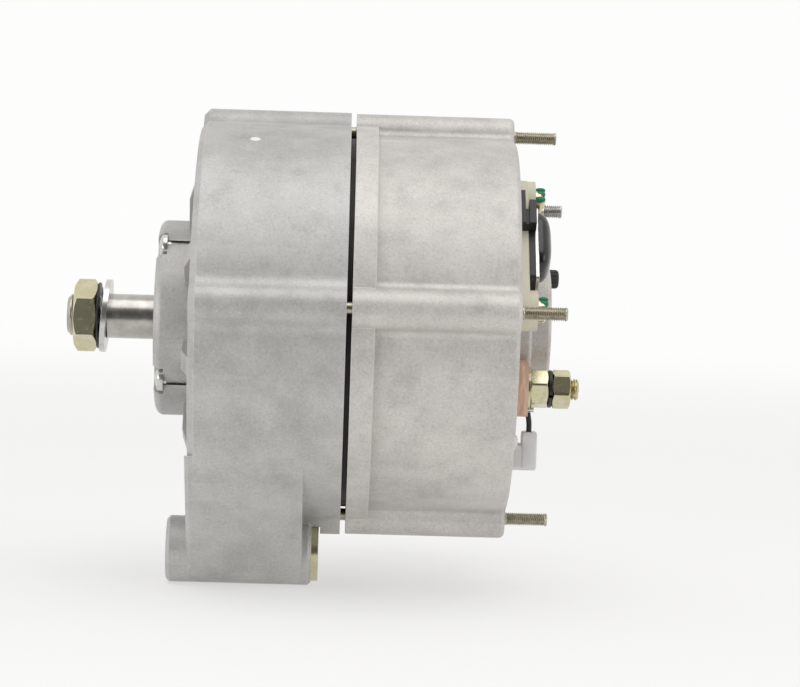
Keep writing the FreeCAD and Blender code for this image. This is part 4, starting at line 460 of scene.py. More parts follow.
@dataclass(frozen=True)
class StackFinish(Finish):
    """Stacked laminations under varnish: a dark seam every sheet."""

    sheet: float = 0.65 * MM
    rust: Colour = (0.11, 0.06, 0.035)
    rust_scale: float = 140.0
    relief: float = 0.05 * MM

    def build(self, graph: Graph) -> bpy.types.Material:
        """Seams are the troughs of a sine of the X coordinate."""
        seam = (graph.axis("X") * (2.0 * math.pi / self.sheet)).wave().ramp(-0.55, -0.95)
        rust = graph.noise(self.rust_scale, 4.0).ramp(0.55, 0.75)
        tone = graph.mix(rust * 0.25, self.layered(graph, self.colour, (seam * 0.75, 0.25)), self.rust)
        return self.close(graph, tone, rust * 0.2 + self.roughness, graph.bump(1.0 - seam, self.relief))


@dataclass(frozen=True)
class WireFinish(Finish):
    """Enamelled winding wire with varnish pooled between the turns."""

    coat: float = 0.6
    pool_scale: float = 260.0
    skin_scale: float = 900.0
    relief: float = 0.03 * MM

    def build(self, graph: Graph) -> bpy.types.Material:
        """Varnish darkens patches of the enamel and smooths its gloss."""
        pooled = graph.noise(self.pool_scale, 4.0).ramp(0.4, 0.7)
        tone = self.layered(graph, self.colour, (pooled, 0.5))
        normal = graph.bump(graph.noise(self.skin_scale, 3.0), self.relief)
        return self.close(graph, tone, self.roughness + pooled * 0.15, normal, Coat_Weight=self.coat)


@dataclass(frozen=True)
class MouldedFinish(Finish):
    """Moulded plastic or rubber: an orange-peel skin, scuffs and softened edges."""

    skin: float = 0.012 * MM
    skin_scale: float = 1400.0
    drift_scale: float = 110.0
    scuff_scale: float = 500.0
    edge_width: float = 0.4 * MM
    rounding: float = 0.35 * MM
    coat: float = 0.0
    see_through: float = 0.0

    def build(self, graph: Graph) -> bpy.types.Material:
        """Fine skin texture, a faint drift of tone and dull scuffs."""
        drift = graph.noise(self.drift_scale, 3.0)
        scuff = graph.noise(self.scuff_scale, 5.0, graph.stretched((1.0, 0.3, 1.0))).ramp(0.58, 0.72)
        rubbed = graph.edge(self.edge_width) * 0.2 + scuff * 0.06
        tone = graph.mix(rubbed, self.between(graph, drift, 0.93, 1.07), lifted(self.colour, 0.12))
        rough = scuff * 0.18 + drift * 0.06 + (self.roughness - 0.03)
        peel = graph.noise(self.skin_scale, 2.0)
        normal = graph.bump(peel, self.skin, graph.rounded_normal(self.rounding))
        more = {"Coat_Weight": self.coat, "Transmission_Weight": self.see_through}
        return self.close(graph, tone, rough, normal, **more)


@dataclass(frozen=True)
class BoardFinish(Finish):
    """Pressed insulating board: fibres lie across it, and its cut edges are paler."""

    fibre_scale: float = 260.0
    relief: float = 0.05 * MM
    edge_width: float = 0.5 * MM

    def build(self, graph: Graph) -> bpy.types.Material:
        """Fibres are noise stretched along Z."""
        fibres = graph.noise(self.fibre_scale, 5.0, graph.stretched((3.0, 3.0, 0.5)))
        tone = self.between(graph, fibres.ramp(0.35, 0.7), 0.8, 1.2)
        tone = graph.mix(graph.edge(self.edge_width) * 0.5, tone, lifted(self.colour, 0.25))
        return self.close(graph, tone, fibres * 0.2 + self.roughness, graph.bump(fibres, self.relief))


@dataclass(frozen=True)
class PaintDab(Finish):
    """A brushed dab of thick paint."""

    streak_scale: float = 700.0
    film: float = 0.08 * MM

    def build(self, graph: Graph) -> bpy.types.Material:
        """Brush streaks make the film thicker and thinner."""
        streak = graph.noise(self.streak_scale, 3.0, graph.stretched((1.0, 0.35, 0.35)))
        tone = self.between(graph, streak, 0.85, 1.1)
        return self.close(graph, tone, streak * 0.2 + self.roughness, graph.bump(streak, self.film))


def shade_of(colour: Colour, gain: float) -> Colour:
    """A colour made darker or lighter, kept below 1."""
    return tuple(min(0.98, part * gain) for part in colour)


def lifted(colour: Colour, amount: float) -> Colour:
    """A colour moved towards white by an amount from 0 to 1."""
    return tuple(part + (1.0 - part) * amount for part in colour)


CAST = CastFinish("cast_aluminium", (0.49, 0.481, 0.466), roughness=0.5, metallic=0.45)
# The rear housing: a warmer tone of its own, and also painted lighter than the front to stand in for the
# brighter light on it.
WARM_CAST_PAINTED_LIGHTER = CastFinish("cast_aluminium_rear", (0.57, 0.548, 0.522), roughness=0.52, metallic=0.45)
STEEL = TurnedFinish("machined_steel", (0.5, 0.48, 0.45), roughness=0.24, metallic=1.0)
BALL_STEEL = PlatedFinish("ball_steel", (0.62, 0.62, 0.63), 0.1, 1.0, second=(0.58, 0.58, 0.6))
YELLOW = PlatedFinish("yellow_zinc", (0.6, 0.55, 0.34), 0.24, 1.0, second=(0.66, 0.62, 0.46))
YELLOW_THREAD = ThreadFinish("yellow_thread", (0.6, 0.53, 0.3), 0.26, 1.0)
SILVER = PlatedFinish("silver_zinc", (0.6, 0.6, 0.58), 0.26, 1.0, second=(0.66, 0.65, 0.61))
SILVER_THREAD = ThreadFinish("silver_thread", (0.58, 0.57, 0.55), 0.28, 1.0)
BOLT = ThreadFinish("bolt_zinc", (0.52, 0.49, 0.4), 0.28, 1.0)
BLACK_STEEL = PlatedFinish("black_steel", (0.03, 0.03, 0.032), 0.38, 0.6, second=(0.06, 0.055, 0.05))
LAMINATION = StackFinish("stator_steel", (0.05, 0.048, 0.046), roughness=0.45, metallic=0.5)
POLE_STEEL = PlatedFinish("pole_steel", (0.2, 0.19, 0.18), 0.42, 0.9, second=(0.13, 0.12, 0.12))
COPPER = WireFinish("winding_copper", (0.42, 0.15, 0.05), roughness=0.28, metallic=0.7)
RING_COPPER = TurnedFinish("ring_copper", (0.72, 0.42, 0.26), roughness=0.2, metallic=1.0)
SHEET = PlatedFinish("sheet_aluminium", (0.6, 0.6, 0.6), 0.35, 1.0, second=(0.66, 0.66, 0.65))
IVORY = MouldedFinish("ivory_plastic", (0.7, 0.66, 0.53), roughness=0.45)
GLOSSY = MouldedFinish("glossy_black", (0.008, 0.008, 0.009), roughness=0.2, skin=0.003 * MM, coat=0.15)
SATIN = MouldedFinish("satin_black", (0.018, 0.018, 0.018), roughness=0.42)
RUBBER = MouldedFinish("rubber_black", (0.02, 0.02, 0.02), 0.6, skin=0.09 * MM, skin_scale=900.0)
BOARD = BoardFinish("brown_laminate", (0.64, 0.42, 0.31), roughness=0.5)
MILKY = MouldedFinish("milky_plastic", (0.93, 0.93, 0.93), roughness=0.35, see_through=0.3)
CARBON = MouldedFinish("pressed_carbon", (0.03, 0.028, 0.027), roughness=0.5, skin=0.04 * MM)
CIRCUIT = MouldedFinish("circuit_board", (0.05, 0.13, 0.07), roughness=0.35, coat=0.3)
BRASS = PlatedFinish("tinned_brass", (0.68, 0.64, 0.5), 0.28, 1.0, second=(0.74, 0.62, 0.34))
GREEN_PAINT = PaintDab("green_paint", (0.01, 0.2, 0.1), roughness=0.35)
WHITE_PAINT = PaintDab("white_paint", (0.9, 0.9, 0.88), roughness=0.4)

CAD_FINISHES: dict[Finish, Sequence[str]] = {
    CAST: ("drive_end_housing",),
    WARM_CAST_PAINTED_LIGHTER: ("slip_ring_end_housing",),
    STEEL: (
        "rotor_shaft", "thrust_ring", "front_bearing_inner_race", "front_bearing_outer_race",
        "rear_bearing_inner_race", "rear_bearing_outer_race", "front_brush_spring", "rear_brush_spring",
    ),
    BALL_STEEL: ("front_bearing_balls", "rear_bearing_balls"),
    YELLOW: (
        "shaft_nut", "pivot_bush", "battery_stud", "terminal_washer", "terminal_inner_nut",
        "terminal_outer_nut", "regulator_screws",
    ),
    SILVER: (
        "shaft_washer", "bearing_retainer", "retainer_screws", "positive_diodes", "negative_diodes",
        "rectifier_screws", "lamp_terminal_stud", "lamp_terminal_nut", "phase_terminal_post",
        "suppressor_lead_pin",
    ),
    BOLT: ("through_bolts",),
    BLACK_STEEL: ("shaft_spring_washer", "terminal_spring_washer"),
    LAMINATION: ("stator_core",),
    POLE_STEEL: ("front_pole", "rear_pole"),
    COPPER: ("stator_windings", "field_coil"),
    RING_COPPER: ("slip_rings",),
    SHEET: (
        "front_bearing_cage", "rear_bearing_cage", "positive_heat_sink", "negative_heat_sink",
        "regulator_plate",
    ),
    IVORY: ("brush_holder", "coil_bobbin"),
    GLOSSY: ("regulator_cover",),
    SATIN: (
        "rectifier_posts", "exciter_diodes", "regulator_body", "connector_shroud",
        "lamp_terminal_insulator", "slip_ring_sleeve",
    ),
    RUBBER: ("phase_terminal_cap", "suppressor_lead"),
    BOARD: ("terminal_insulator",),
    MILKY: ("suppressor_connector",),
    CARBON: ("front_brush", "rear_brush"),
    CIRCUIT: ("exciter_diode_board",),
    BRASS: ("suppressor_blade",),
}


def dress(thing: bpy.types.Object, finish: Finish) -> None:
    """Give an object one finish in place of whatever it had."""
    thing.data.materials.clear()
    thing.data.materials.append(finish.material())


def surface(name: str, grids: Sequence[np.ndarray], sharp: float = 35.0) -> bpy.types.Object:
    """Make one object of several grids of points.

    Each grid has rows, columns and xyz, and its neighbouring points make the faces. Rows or
    columns that meet again are merged, which closes seams and poles, and the faces are then
    turned outwards.

    Args:
        name: The object's name.
        grids: Arrays of shape (rows, columns, 3), in metres.
        sharp: The angle in degrees past which an edge stays sharp.

    Returns:
        The linked object.
    """
    points, quads, first = [], [], 0
    for grid in grids:
        rows, columns = grid.shape[:2]
        number = first + np.arange(rows * columns).reshape(rows, columns)
        corners = (number[:-1, :-1], number[1:, :-1], number[1:, 1:], number[:-1, 1:])
        quads.append(np.stack(corners, axis=-1).reshape(-1, 4))
        points.append(grid.reshape(-1, 3))
        first += rows * columns
    mesh = bpy.data.meshes.new(name)
    mesh.from_pydata(np.concatenate(points).tolist(), [], np.concatenate(quads).tolist())
    work = bmesh.new()
    work.from_mesh(mesh)
    bmesh.ops.remove_doubles(work, verts=work.verts, dist=MERGED)
    bmesh.ops.dissolve_degenerate(work, edges=work.edges, dist=FLATTENED)
    bmesh.ops.recalc_face_normals(work, faces=work.faces)
    work.to_mesh(mesh)
    work.free()
    mesh.shade_smooth()
    mesh.set_sharp_from_angle(angle=math.radians(sharp))
    made = bpy.data.objects.new(name, mesh)
    bpy.context.scene.collection.objects.link(made)
    return made


def seat(thing: bpy.types.Object, body: Body, finish: Finish, slot: str, *nodes: str) -> None:
    """Dress a new piece, hide the CAD nodes that it replaces and let it ride on its body.

    Args:
        thing: The piece.
        body: The body that carries it.
        finish: Its finish.
        slot: A material slot's name; it is not used.
        nodes: The CAD nodes that it replaces.
    """
    dress(thing, finish)
    if nodes:
        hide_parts(*nodes)
    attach(thing, body.value)
    LOG.info("%s rides on %s, %d faces", thing.name, body.value, len(thing.data.polygons))


@dataclass
class Studio:
    """The camera at the photograph's place, a plain floor and soft lights.

    The lens and the sensor are in millimetres, and the three angles in degrees. A fade or a rise
    is where it starts and where it ends, and a strength is that at its start and at its end.
    """

    distance: float = 1.046
    lens: float = 122.3
    sensor: float = 36.0
    azimuth: float = -1.3
    elevation: float = 3.3
    roll: float = 1.76
    target: tuple[float, float, float] = (0.0927, 0.0, -0.0074)
    ground_size: float = 8.0
    floor_colour: Colour = (0.94, 0.94, 0.935)
    floor_glow: Colour = (0.95, 0.95, 0.94)
    backdrop: Colour = (0.985, 0.985, 0.98)
    floor_fade: Pair = (0.3, 1.7)
    glow_share: float = 0.5
    table_edge: Pair = (-0.16, -0.6)
    table_shade: float = 0.12
    bounce: float = 0.6
    room_colour: Colour = (1.0, 0.992, 0.98)
    room_rise: Pair = (-0.8, 0.5)
    room_strength: Pair = (0.42, 0.95)
    mirrored_rise: Pair = (-0.97, -0.35)
    mirrored_strength: Pair = (0.1, 0.95)

    def build(self) -> None:
        """Make all of it."""
        self.camera()
        self.floor()
        self.world()
        self.lamps()
        bpy.context.scene.view_settings.view_transform = "Standard"

    def camera(self) -> None:
        """Stand the camera off the target along azimuth and elevation, rolled about its view."""
        turn, rise = math.radians(self.azimuth), math.radians(self.elevation)
        level = math.cos(rise)
        back = Vector((math.sin(turn) * level, -math.cos(turn) * level, math.sin(rise)))
        right = (-back).cross(Vector((0, 0, 1))).normalized()
        above = right.cross(-back)
        lean = math.radians(self.roll)
        across = right * math.cos(lean) + above * math.sin(lean)
        up = above * math.cos(lean) - right * math.sin(lean)
        pose = Matrix((across, up, back)).transposed().to_4x4()
        pose.translation = Vector(self.target) + back * self.distance
        data = bpy.data.cameras.new("photo_camera")
        data.lens = self.lens
        data.sensor_width = self.sensor
        camera = bpy.data.objects.new("photo_camera", data)
        camera.matrix_world = pose
        bpy.context.scene.collection.objects.link(camera)
        bpy.context.scene.camera = camera

    def floor(self) -> None:
        """A white floor: it keeps the shadow near the object and fades into the background.

        Mirrors see its part in front of the object darker, like the edge of a table.
        """
        half = self.ground_size / 2
        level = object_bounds()[0].z
        line = np.linspace(-half, half, 9)
        u, v = np.meshgrid(line, line)
        ground = surface("floor", [np.stack((u, v, np.full_like(u, level)), axis=-1)])
        graph = Graph(bpy.data.materials.new("floor_white"))
        x, y = graph.axis("X") - self.target[0], graph.axis("Y")
        square = x * x + y * y
        away = square.join("POWER", square, 0.5).ramp(*self.floor_fade)
        matte = graph.node("ShaderNodeBsdfDiffuse", inputs={"Color": self.floor_colour})
        near = graph.blend(self.glow_share, matte, graph.glow(self.floor_glow))
        faded = graph.blend(away, near, graph.glow(self.backdrop))
        edge = y.ramp(*self.table_edge) * graph.ray("Is Glossy Ray")
        faded = graph.blend(edge, faded, graph.glow(self.room_colour, self.table_shade))
        shown = graph.blend(self.seen(graph), matte, faded)
        ground.data.materials.append(graph.close(shown))
        ground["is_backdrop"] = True

    def world(self) -> None:
        """A soft room: the camera sees it white, and metals see it dark behind the camera.

        Its strength rises smoothly with the direction's Y, from the camera's side to the far
        side. For mirrors the rise starts lower and ends sooner.
        """
        graph = Graph(bpy.data.worlds.new("studio"))
        direction = graph.node("ShaderNodeTexCoord", result="Generated")
        ahead = graph.node("ShaderNodeSeparateXYZ", inputs={0: direction}, result="Y")
        low, high = self.room_strength
        dark, bright = self.mirrored_strength
        lit = ahead.ramp(*self.room_rise) * (high - low) + low
        mirrored = ahead.ramp(*self.mirrored_rise) * (bright - dark) + dark
        strength = lit + (mirrored - lit) * graph.ray("Is Glossy Ray")
        room = graph.node("ShaderNodeBackground", inputs={"Color": self.room_colour, "Strength": strength})
        white = graph.node("ShaderNodeBackground", inputs={"Color": self.backdrop})
        seen = (graph.ray("Is Camera Ray") + graph.ray("Is Transmission Ray")).clipped()
        bpy.context.scene.world = graph.close(graph.blend(seen, room, white))

    def seen(self, graph: Graph) -> Signal:
        """1 where the camera, a mirror or glass sees the floor, and a share of it for the bounce."""
        rays = ("Is Camera Ray", "Is Glossy Ray", "Is Transmission Ray")
        total = sum(graph.ray(kind) for kind in rays) + graph.ray("Is Diffuse Ray") * self.bounce
        return total.clipped()

    def lamps(self) -> None:
        """A broad lamp overhead, a weaker one at each side and a low one towards the lug."""
        self.lamp("top", (0.15, -0.35, 1.1), 1.0, 4.0)
        self.lamp("drive_side", (-0.95, -0.75, 0.12), 0.7, 1.8)
        self.lamp("low_left", (-0.5, -0.8, -0.045), 0.45, 1.8)
        self.lamp("slip_ring_side", (1.15, -0.75, 0.2), 0.7, 2.2)

    def lamp(self, name: str, place: tuple[float, float, float], size: float, power: float) -> None:
        """Add a square area lamp that looks at the object.

        Args:
            name: The lamp's name.
            place: Where it stands.
            size: Its side.
            power: Its power in watts.
        """
        data = bpy.data.lights.new(name, "AREA")
        data.size = size
        data.energy = power
        lamp = bpy.data.objects.new(name, data)
        lamp.location = place
        aim = Vector(self.target) - Vector(place)
        lamp.rotation_mode = "QUATERNION"
        lamp.rotation_quaternion = aim.to_track_quat("-Z", "Y")
        bpy.context.scene.collection.objects.link(lamp)


@dataclass(frozen=True)
class Thread:
    """A screw thread's form: a triangle wave round the rod, flattened at crest and root.

    The steepness stretches the triangle and the crest lowers it, which leaves the flats.
    """

    radius: float
    pitch: float
    depth_share: float = 0.6
    steepness: float = 1.3
    crest: float = 0.1

    def height(self, along: np.ndarray, angle: np.ndarray) -> np.ndarray:
        """The radius at a place on the rod.

        The wave's phase is the distance in pitches less the angle in turns, so the crest climbs
        one pitch a turn. Its triangle is stretched and clipped, which leaves flats.

        Args:
            along: Distance along the rod.
            angle: Angle about it, in radians.

        Returns:
            The radius.
        """
        phase = np.mod(along / self.pitch - angle / (2 * np.pi), 1.0)
        wave = np.clip(np.abs(2 * phase - 1) * self.steepness - self.crest, 0.0, 1.0)
        return self.radius - self.depth_share * self.pitch * wave


M4 = Thread(2.0 * MM, 0.7 * MM)
M5 = Thread(2.5 * MM, 0.8 * MM)
M8 = Thread(4.0 * MM, 1.25 * MM)
M16_FINE = Thread(8.0 * MM, 1.5 * MM)


def axis_of(node: str) -> Pair:
    """The y and z of the middle of a CAD node that stands along X."""
    low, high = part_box(node)
    return (low.y + high.y) / 2, (low.z + high.z) / 2


def ring_of_points(count: int) -> np.ndarray:
    """Angles once round, with the first again at the end."""
    return np.linspace(0.0, 2 * np.pi, count + 1)


def about_x(station: np.ndarray, radius: np.ndarray, angle: np.ndarray) -> np.ndarray:
    """Points about the X axis from their stations, radii and angles.

    Args:
        station: Places along X.
        radius: Distances from X.
        angle: Angles from +Y towards +Z. The three are broadcast together.

    Returns:
        The points, with xyz as the last axis.
    """
    station, radius, angle = np.broadcast_arrays(station, radius, angle)
    return np.stack((station, radius * np.cos(angle), radius * np.sin(angle)), axis=-1)


def turned_about_x(points: np.ndarray, angle: float) -> np.ndarray:
    """Turn points about the X axis.

    Args:
        points: An array whose last axis is xyz.
        angle: The turn in radians, from +Y towards +Z.

    Returns:
        The turned points.
    """
    x, y, z = np.moveaxis(points, -1, 0)
    cosine, sine = math.cos(angle), math.sin(angle)
    return np.stack((x, y * cosine - z * sine, y * sine + z * cosine), axis=-1)


def moved(points: np.ndarray, y: float, z: float) -> np.ndarray:
    """Shift points across the shaft."""
    return points + np.array((0.0, y, z))


def signed_power(values: np.ndarray, exponent: float) -> np.ndarray:
    """Raise the size of values to a power and keep their sign."""
    return np.sign(values) * np.abs(values) ** exponent


def rod(profile: Sequence[Pair], thread: Thread, span: Pair, sides: int) -> np.ndarray:
    """A profile of stations and radii turned about X, with a thread between two stations.

    In the span the radius is the thread's, which fades out over one pitch at each end.

    Args:
        profile: Pairs of a station along X and a radius, in order.
        thread: The thread.
        span: Where it starts and ends.
        sides: Faces round the rod.

    Returns:
        A grid of points.
    """
    angle = ring_of_points(sides)
    rows = np.asarray(profile, float)
    station = np.repeat(rows[:, :1], len(angle), axis=1)
    radius = np.repeat(rows[:, 1:], len(angle), axis=1)
    x, turn = np.meshgrid(np.arange(*span, thread.pitch / STEPS_PER_PITCH), angle, indexing="ij")
    fade = np.clip(np.minimum(x - span[0], span[1] - x) / thread.pitch, 0.0, 1.0)
    cut = thread.radius - (thread.radius - thread.height(x, turn)) * fade
    before, after = rows[:, 0] <= span[0], rows[:, 0] > span[0]
    station = np.concatenate((station[before], x, station[after]))
    radius = np.concatenate((radius[before], cut, radius[after]))
    return about_x(station, radius, angle)


@dataclass
class Screw:
    """A screw along X: a head with its recess, a shank and a thread.

    It points along +X where points is 1 and along -X where it is -1. The recess's depth is a
    share of the head's height, and its size, slot and wall are shares of the head's radius. The
    rim's rounding is the smaller of two shares, one of the height and one of the radius.
    """

    seat: float
    points: int
    head_radius: float
    head_height: float
    shank_radius: float
    reach: float
    thread: Thread
    plain_reach: float
    recess: Recess = Recess.CROSS
    recess_size: float = 0.55
    recess_depth: float = 0.5
    recess_slot: float = 0.16
    recess_wall: float = 0.09
    dome: float = 0.25
    rounding_shares: Pair = (0.35, 0.3)
    tip_bevel: float = 0.4 * MM
    head_sides: int = 64
    shank_sides: int = 24

    def grids(self) -> list[np.ndarray]:
        """The head and the shank.

        The head's top falls away from its middle as a parabola and is sunk by the recess. Its
        side is straight, and its rim is rounded by a quarter circle.

        Returns:
            Two grids, drawn on the X axis with the head's underside at the seat.
        """
        of_height, of_radius = self.rounding_shares
        rounding = min(of_height * self.head_height, of_radius * self.head_radius)
        bend = np.linspace(0.0, np.pi / 2, 5)
        flat = self.head_radius - rounding
        side_height = self.head_height * (1 - self.dome) - rounding
        inner = np.linspace(flat, 0.0, 22)[1:]
        bulge = (1 - (inner / flat) ** 2) * self.head_height * self.dome
        rim_radius = flat + rounding * np.cos(bend)
        rim_height = side_height + rounding * np.sin(bend)
        radius = np.concatenate(((self.shank_radius, self.head_radius), rim_radius, inner))
        height = np.concatenate(((0.0, 0.0), rim_height, side_height + rounding + bulge))[:, None]
        radius, turn = np.meshgrid(radius, ring_of_points(self.head_sides), indexing="ij")
        height = height - self.sunk(radius * np.cos(turn), radius * np.sin(turn)) * (height > rounding)
        start, end, full = self.plain_reach, self.reach - self.tip_bevel, self.thread.radius
        profile = [(0.0, self.shank_radius), (start, self.shank_radius), (end, full)]
        profile += [(self.reach, full - self.tip_bevel), (self.reach, 0.0)]
        shank = rod(profile, self.thread, (start + JUST_PAST, end), self.shank_sides)
        return [self.placed(about_x(-height, radius, turn)), self.placed(shank)]

    def around(self, circle: float, angles: Sequence[float]) -> list[np.ndarray]:
        """The screw at several places of a bolt circle on the clocked housings.

        Args:
            circle: The bolt circle's radius.
            angles: The places, in degrees from +Y towards +Z before the clocking.

        Returns:
            The grids of all of them.
        """
        turns = [math.radians(angle) + CLOCKING for angle in angles]
        return [turned_about_x(moved(grid, circle, 0.0), turn) for turn in turns for grid in self.grids()]

    def placed(self, grid: np.ndarray) -> np.ndarray:
        """Point the screw along +X or -X and move it to its seat."""
        x = self.seat + self.points * grid[..., 0]
        return np.stack((x, self.points * grid[..., 1], grid[..., 2]), axis=-1)

    def sunk(self, across: np.ndarray, up: np.ndarray) -> np.ndarray:
        """How deep the recess is at a place on the head.

        A cross is where the smaller coordinate is within half the slot's width and the larger
        one within its reach. A hexagon is where the largest of three projections is within the
        key's half width. Both walls slope a little.

        Args:
            across: First coordinate on the head.
            up: Second coordinate on the head.

        Returns:
            The depth, from 0 to about half the head's height.
        """
        depth = self.recess_depth * self.head_height
        reach = self.recess_size * self.head_radius
        wall = self.recess_wall * self.head_radius
        if self.recess is Recess.CROSS:
            small = np.minimum(np.abs(across), np.abs(up))
            large = np.maximum(np.abs(across), np.abs(up))
            inside = np.clip((self.recess_slot * self.head_radius - small) / wall, 0, 1)
            return depth * inside * np.clip((reach - large) / wall, 0, 1)
        turns = np.radians((0.0, 60.0, 120.0))[:, None, None]
        project = np.abs(across * np.cos(turns) + up * np.sin(turns)).max(axis=0)
        return depth * np.clip((reach - project) / wall, 0, 1)


@dataclass
class Nut:
    """A hexagon nut along X whose corners are turned away by a cone at both ends."""

    flats: float
    start: float
    thickness: float
    bore: float
    first: float
    cone: float = math.radians(30.0)
    faced_share: float = 0.97
    countersink: float = 0.35 * MM
    sides: int = 72

    def grid(self) -> np.ndarray:
        """The nut's skin as one closed section swept round.

        The outside radius is the half width over flats divided by the cosine of the angle from
        the nearest flat's middle. Each end's plane falls back by the cone where that radius is
        outside the faced circle.

        Returns:
            A grid of points on the X axis.
        """
        angle = ring_of_points(self.sides)
        near = np.mod(angle - self.first, np.pi / 3) - np.pi / 6
        outside = self.flats / 2 / np.cos(near)
        faced = self.flats / 2 * self.faced_share
        shares = np.array((0.0, 0.5, 1.0))
        ring = faced + (outside - faced)[None, :] * shares[:, None]
        drop = (ring - faced) * math.tan(self.cone)
        hole = np.full((1, len(angle)), self.bore)
        mouth = hole + self.countersink
        sunk = np.full_like(hole, self.countersink)
        radius = np.concatenate((hole, mouth, ring, ring[::-1], mouth, hole, hole))
        low = np.concatenate((sunk, np.zeros_like(hole), drop))
        station = self.start + np.concatenate((low, self.thickness - low[::-1], sunk))
        return about_x(station, radius, angle)


def corner_angle(node: str, y: float, z: float) -> float:
    """The angle from +Y towards +Z of the point of a node that is farthest from an axis along X.

    Args:
        node: The CAD node, such as a nut.
        y: The axis's place.
        z: The axis's place.

    Returns:
        The angle in radians.
    """
    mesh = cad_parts[node].data
    flat = np.empty(len(mesh.vertices) * 3)
    mesh.vertices.foreach_get("co", flat)
    across, up = flat.reshape(-1, 3)[:, 1] - y, flat.reshape(-1, 3)[:, 2] - z
    farthest = int(np.argmax(np.hypot(across, up).round(6)))
    return math.atan2(up[farthest], across[farthest])


def split_ring(
    start: float, width: float, inner: float, outer: float, gap: float, first: float
) -> np.ndarray:
    """A spring washer: a rectangle swept round X, open at one place, its ends a little apart.

    Args:
        start: Its first station.
        width: Its thickness.
        inner: Its inner radius.
        outer: Its outer radius.
        gap: The opening's half angle in radians.
        first: The angle of the opening.

    Returns:
        A grid of points.
    """
    turn = np.linspace(first + gap, first + 2 * np.pi - gap, RING_STEPS)
    turn = np.concatenate((turn[:1], turn, turn[-1:]))
    rise = rim = RING_RIM * width
    lift = rise * np.linspace(-0.5, 0.5, len(turn))
    side = np.array((0, 0, rim, width - rim, width, width, width - rim, rim, 0))
    along = side * (1 - rise / width) + rise / 2
    top, bottom = outer - rim, inner + rim
    across = np.array((bottom, top, outer, outer, top, bottom, inner, inner, bottom))
    radius = np.repeat(across[None, :], len(turn), axis=0)
    station = start + along[None, :] + lift[:, None]
    for end in (0, -1):
        radius[end] = (inner + outer) / 2
        station[end] = start + width / 2 + lift[end]
    return about_x(station, radius, turn[:, None])


def wire(path: np.ndarray, radius: float, sides: int) -> np.ndarray:
    """A round wire along a path, closed at both ends.

    At each point the section lies across the path's direction. Its first axis is the direction
    crossed with the vector to the point from the X axis, and the second completes the frame.

    Args:
        path: Points in order.
        radius: The wire's radius.
        sides: Faces round the wire.

    Returns:
        A grid of points.
    """
    along = np.gradient(path, axis=0)
    along /= np.linalg.norm(along, axis=1, keepdims=True)
    outward = path * np.array((0.0, 1.0, 1.0)) + OFF_AXIS
    first = np.cross(along, outward)
    first /= np.linalg.norm(first, axis=1, keepdims=True)
    second = np.cross(first, along)
    angle = ring_of_points(sides)[None, :, None]
    section = np.cos(angle) * first[:, None, :] + np.sin(angle) * second[:, None, :]
    caps = [np.repeat(path[i][None, None, :], sides + 1, axis=1) for i in (0, -1)]
    return np.concatenate((caps[0], path[:, None, :] + radius * section, caps[1]))


def blob(centre: Sequence[float], size: Sequence[float], power: float = 2.4) -> np.ndarray:
    """A rounded lump, a superellipsoid.

    Each coordinate is its half size times a signed power of the sphere's own coordinate, with
    the exponent 2 over the power.

    Args:
        centre: Its middle.
        size: Its half sizes along x, y and z.
        power: 2 is an ellipsoid, larger is boxier.

    Returns:
        A grid of points.
    """
    up, turn = np.meshgrid(np.linspace(-np.pi / 2, np.pi / 2, 21), ring_of_points(36), indexing="ij")
    level, climb, cosine, sine = (
        signed_power(values, 2 / power) for values in (np.cos(up), np.sin(up), np.cos(turn), np.sin(turn))
    )
    return np.stack((size[0] * climb, size[1] * level * cosine, size[2] * level * sine), axis=-1) + centre


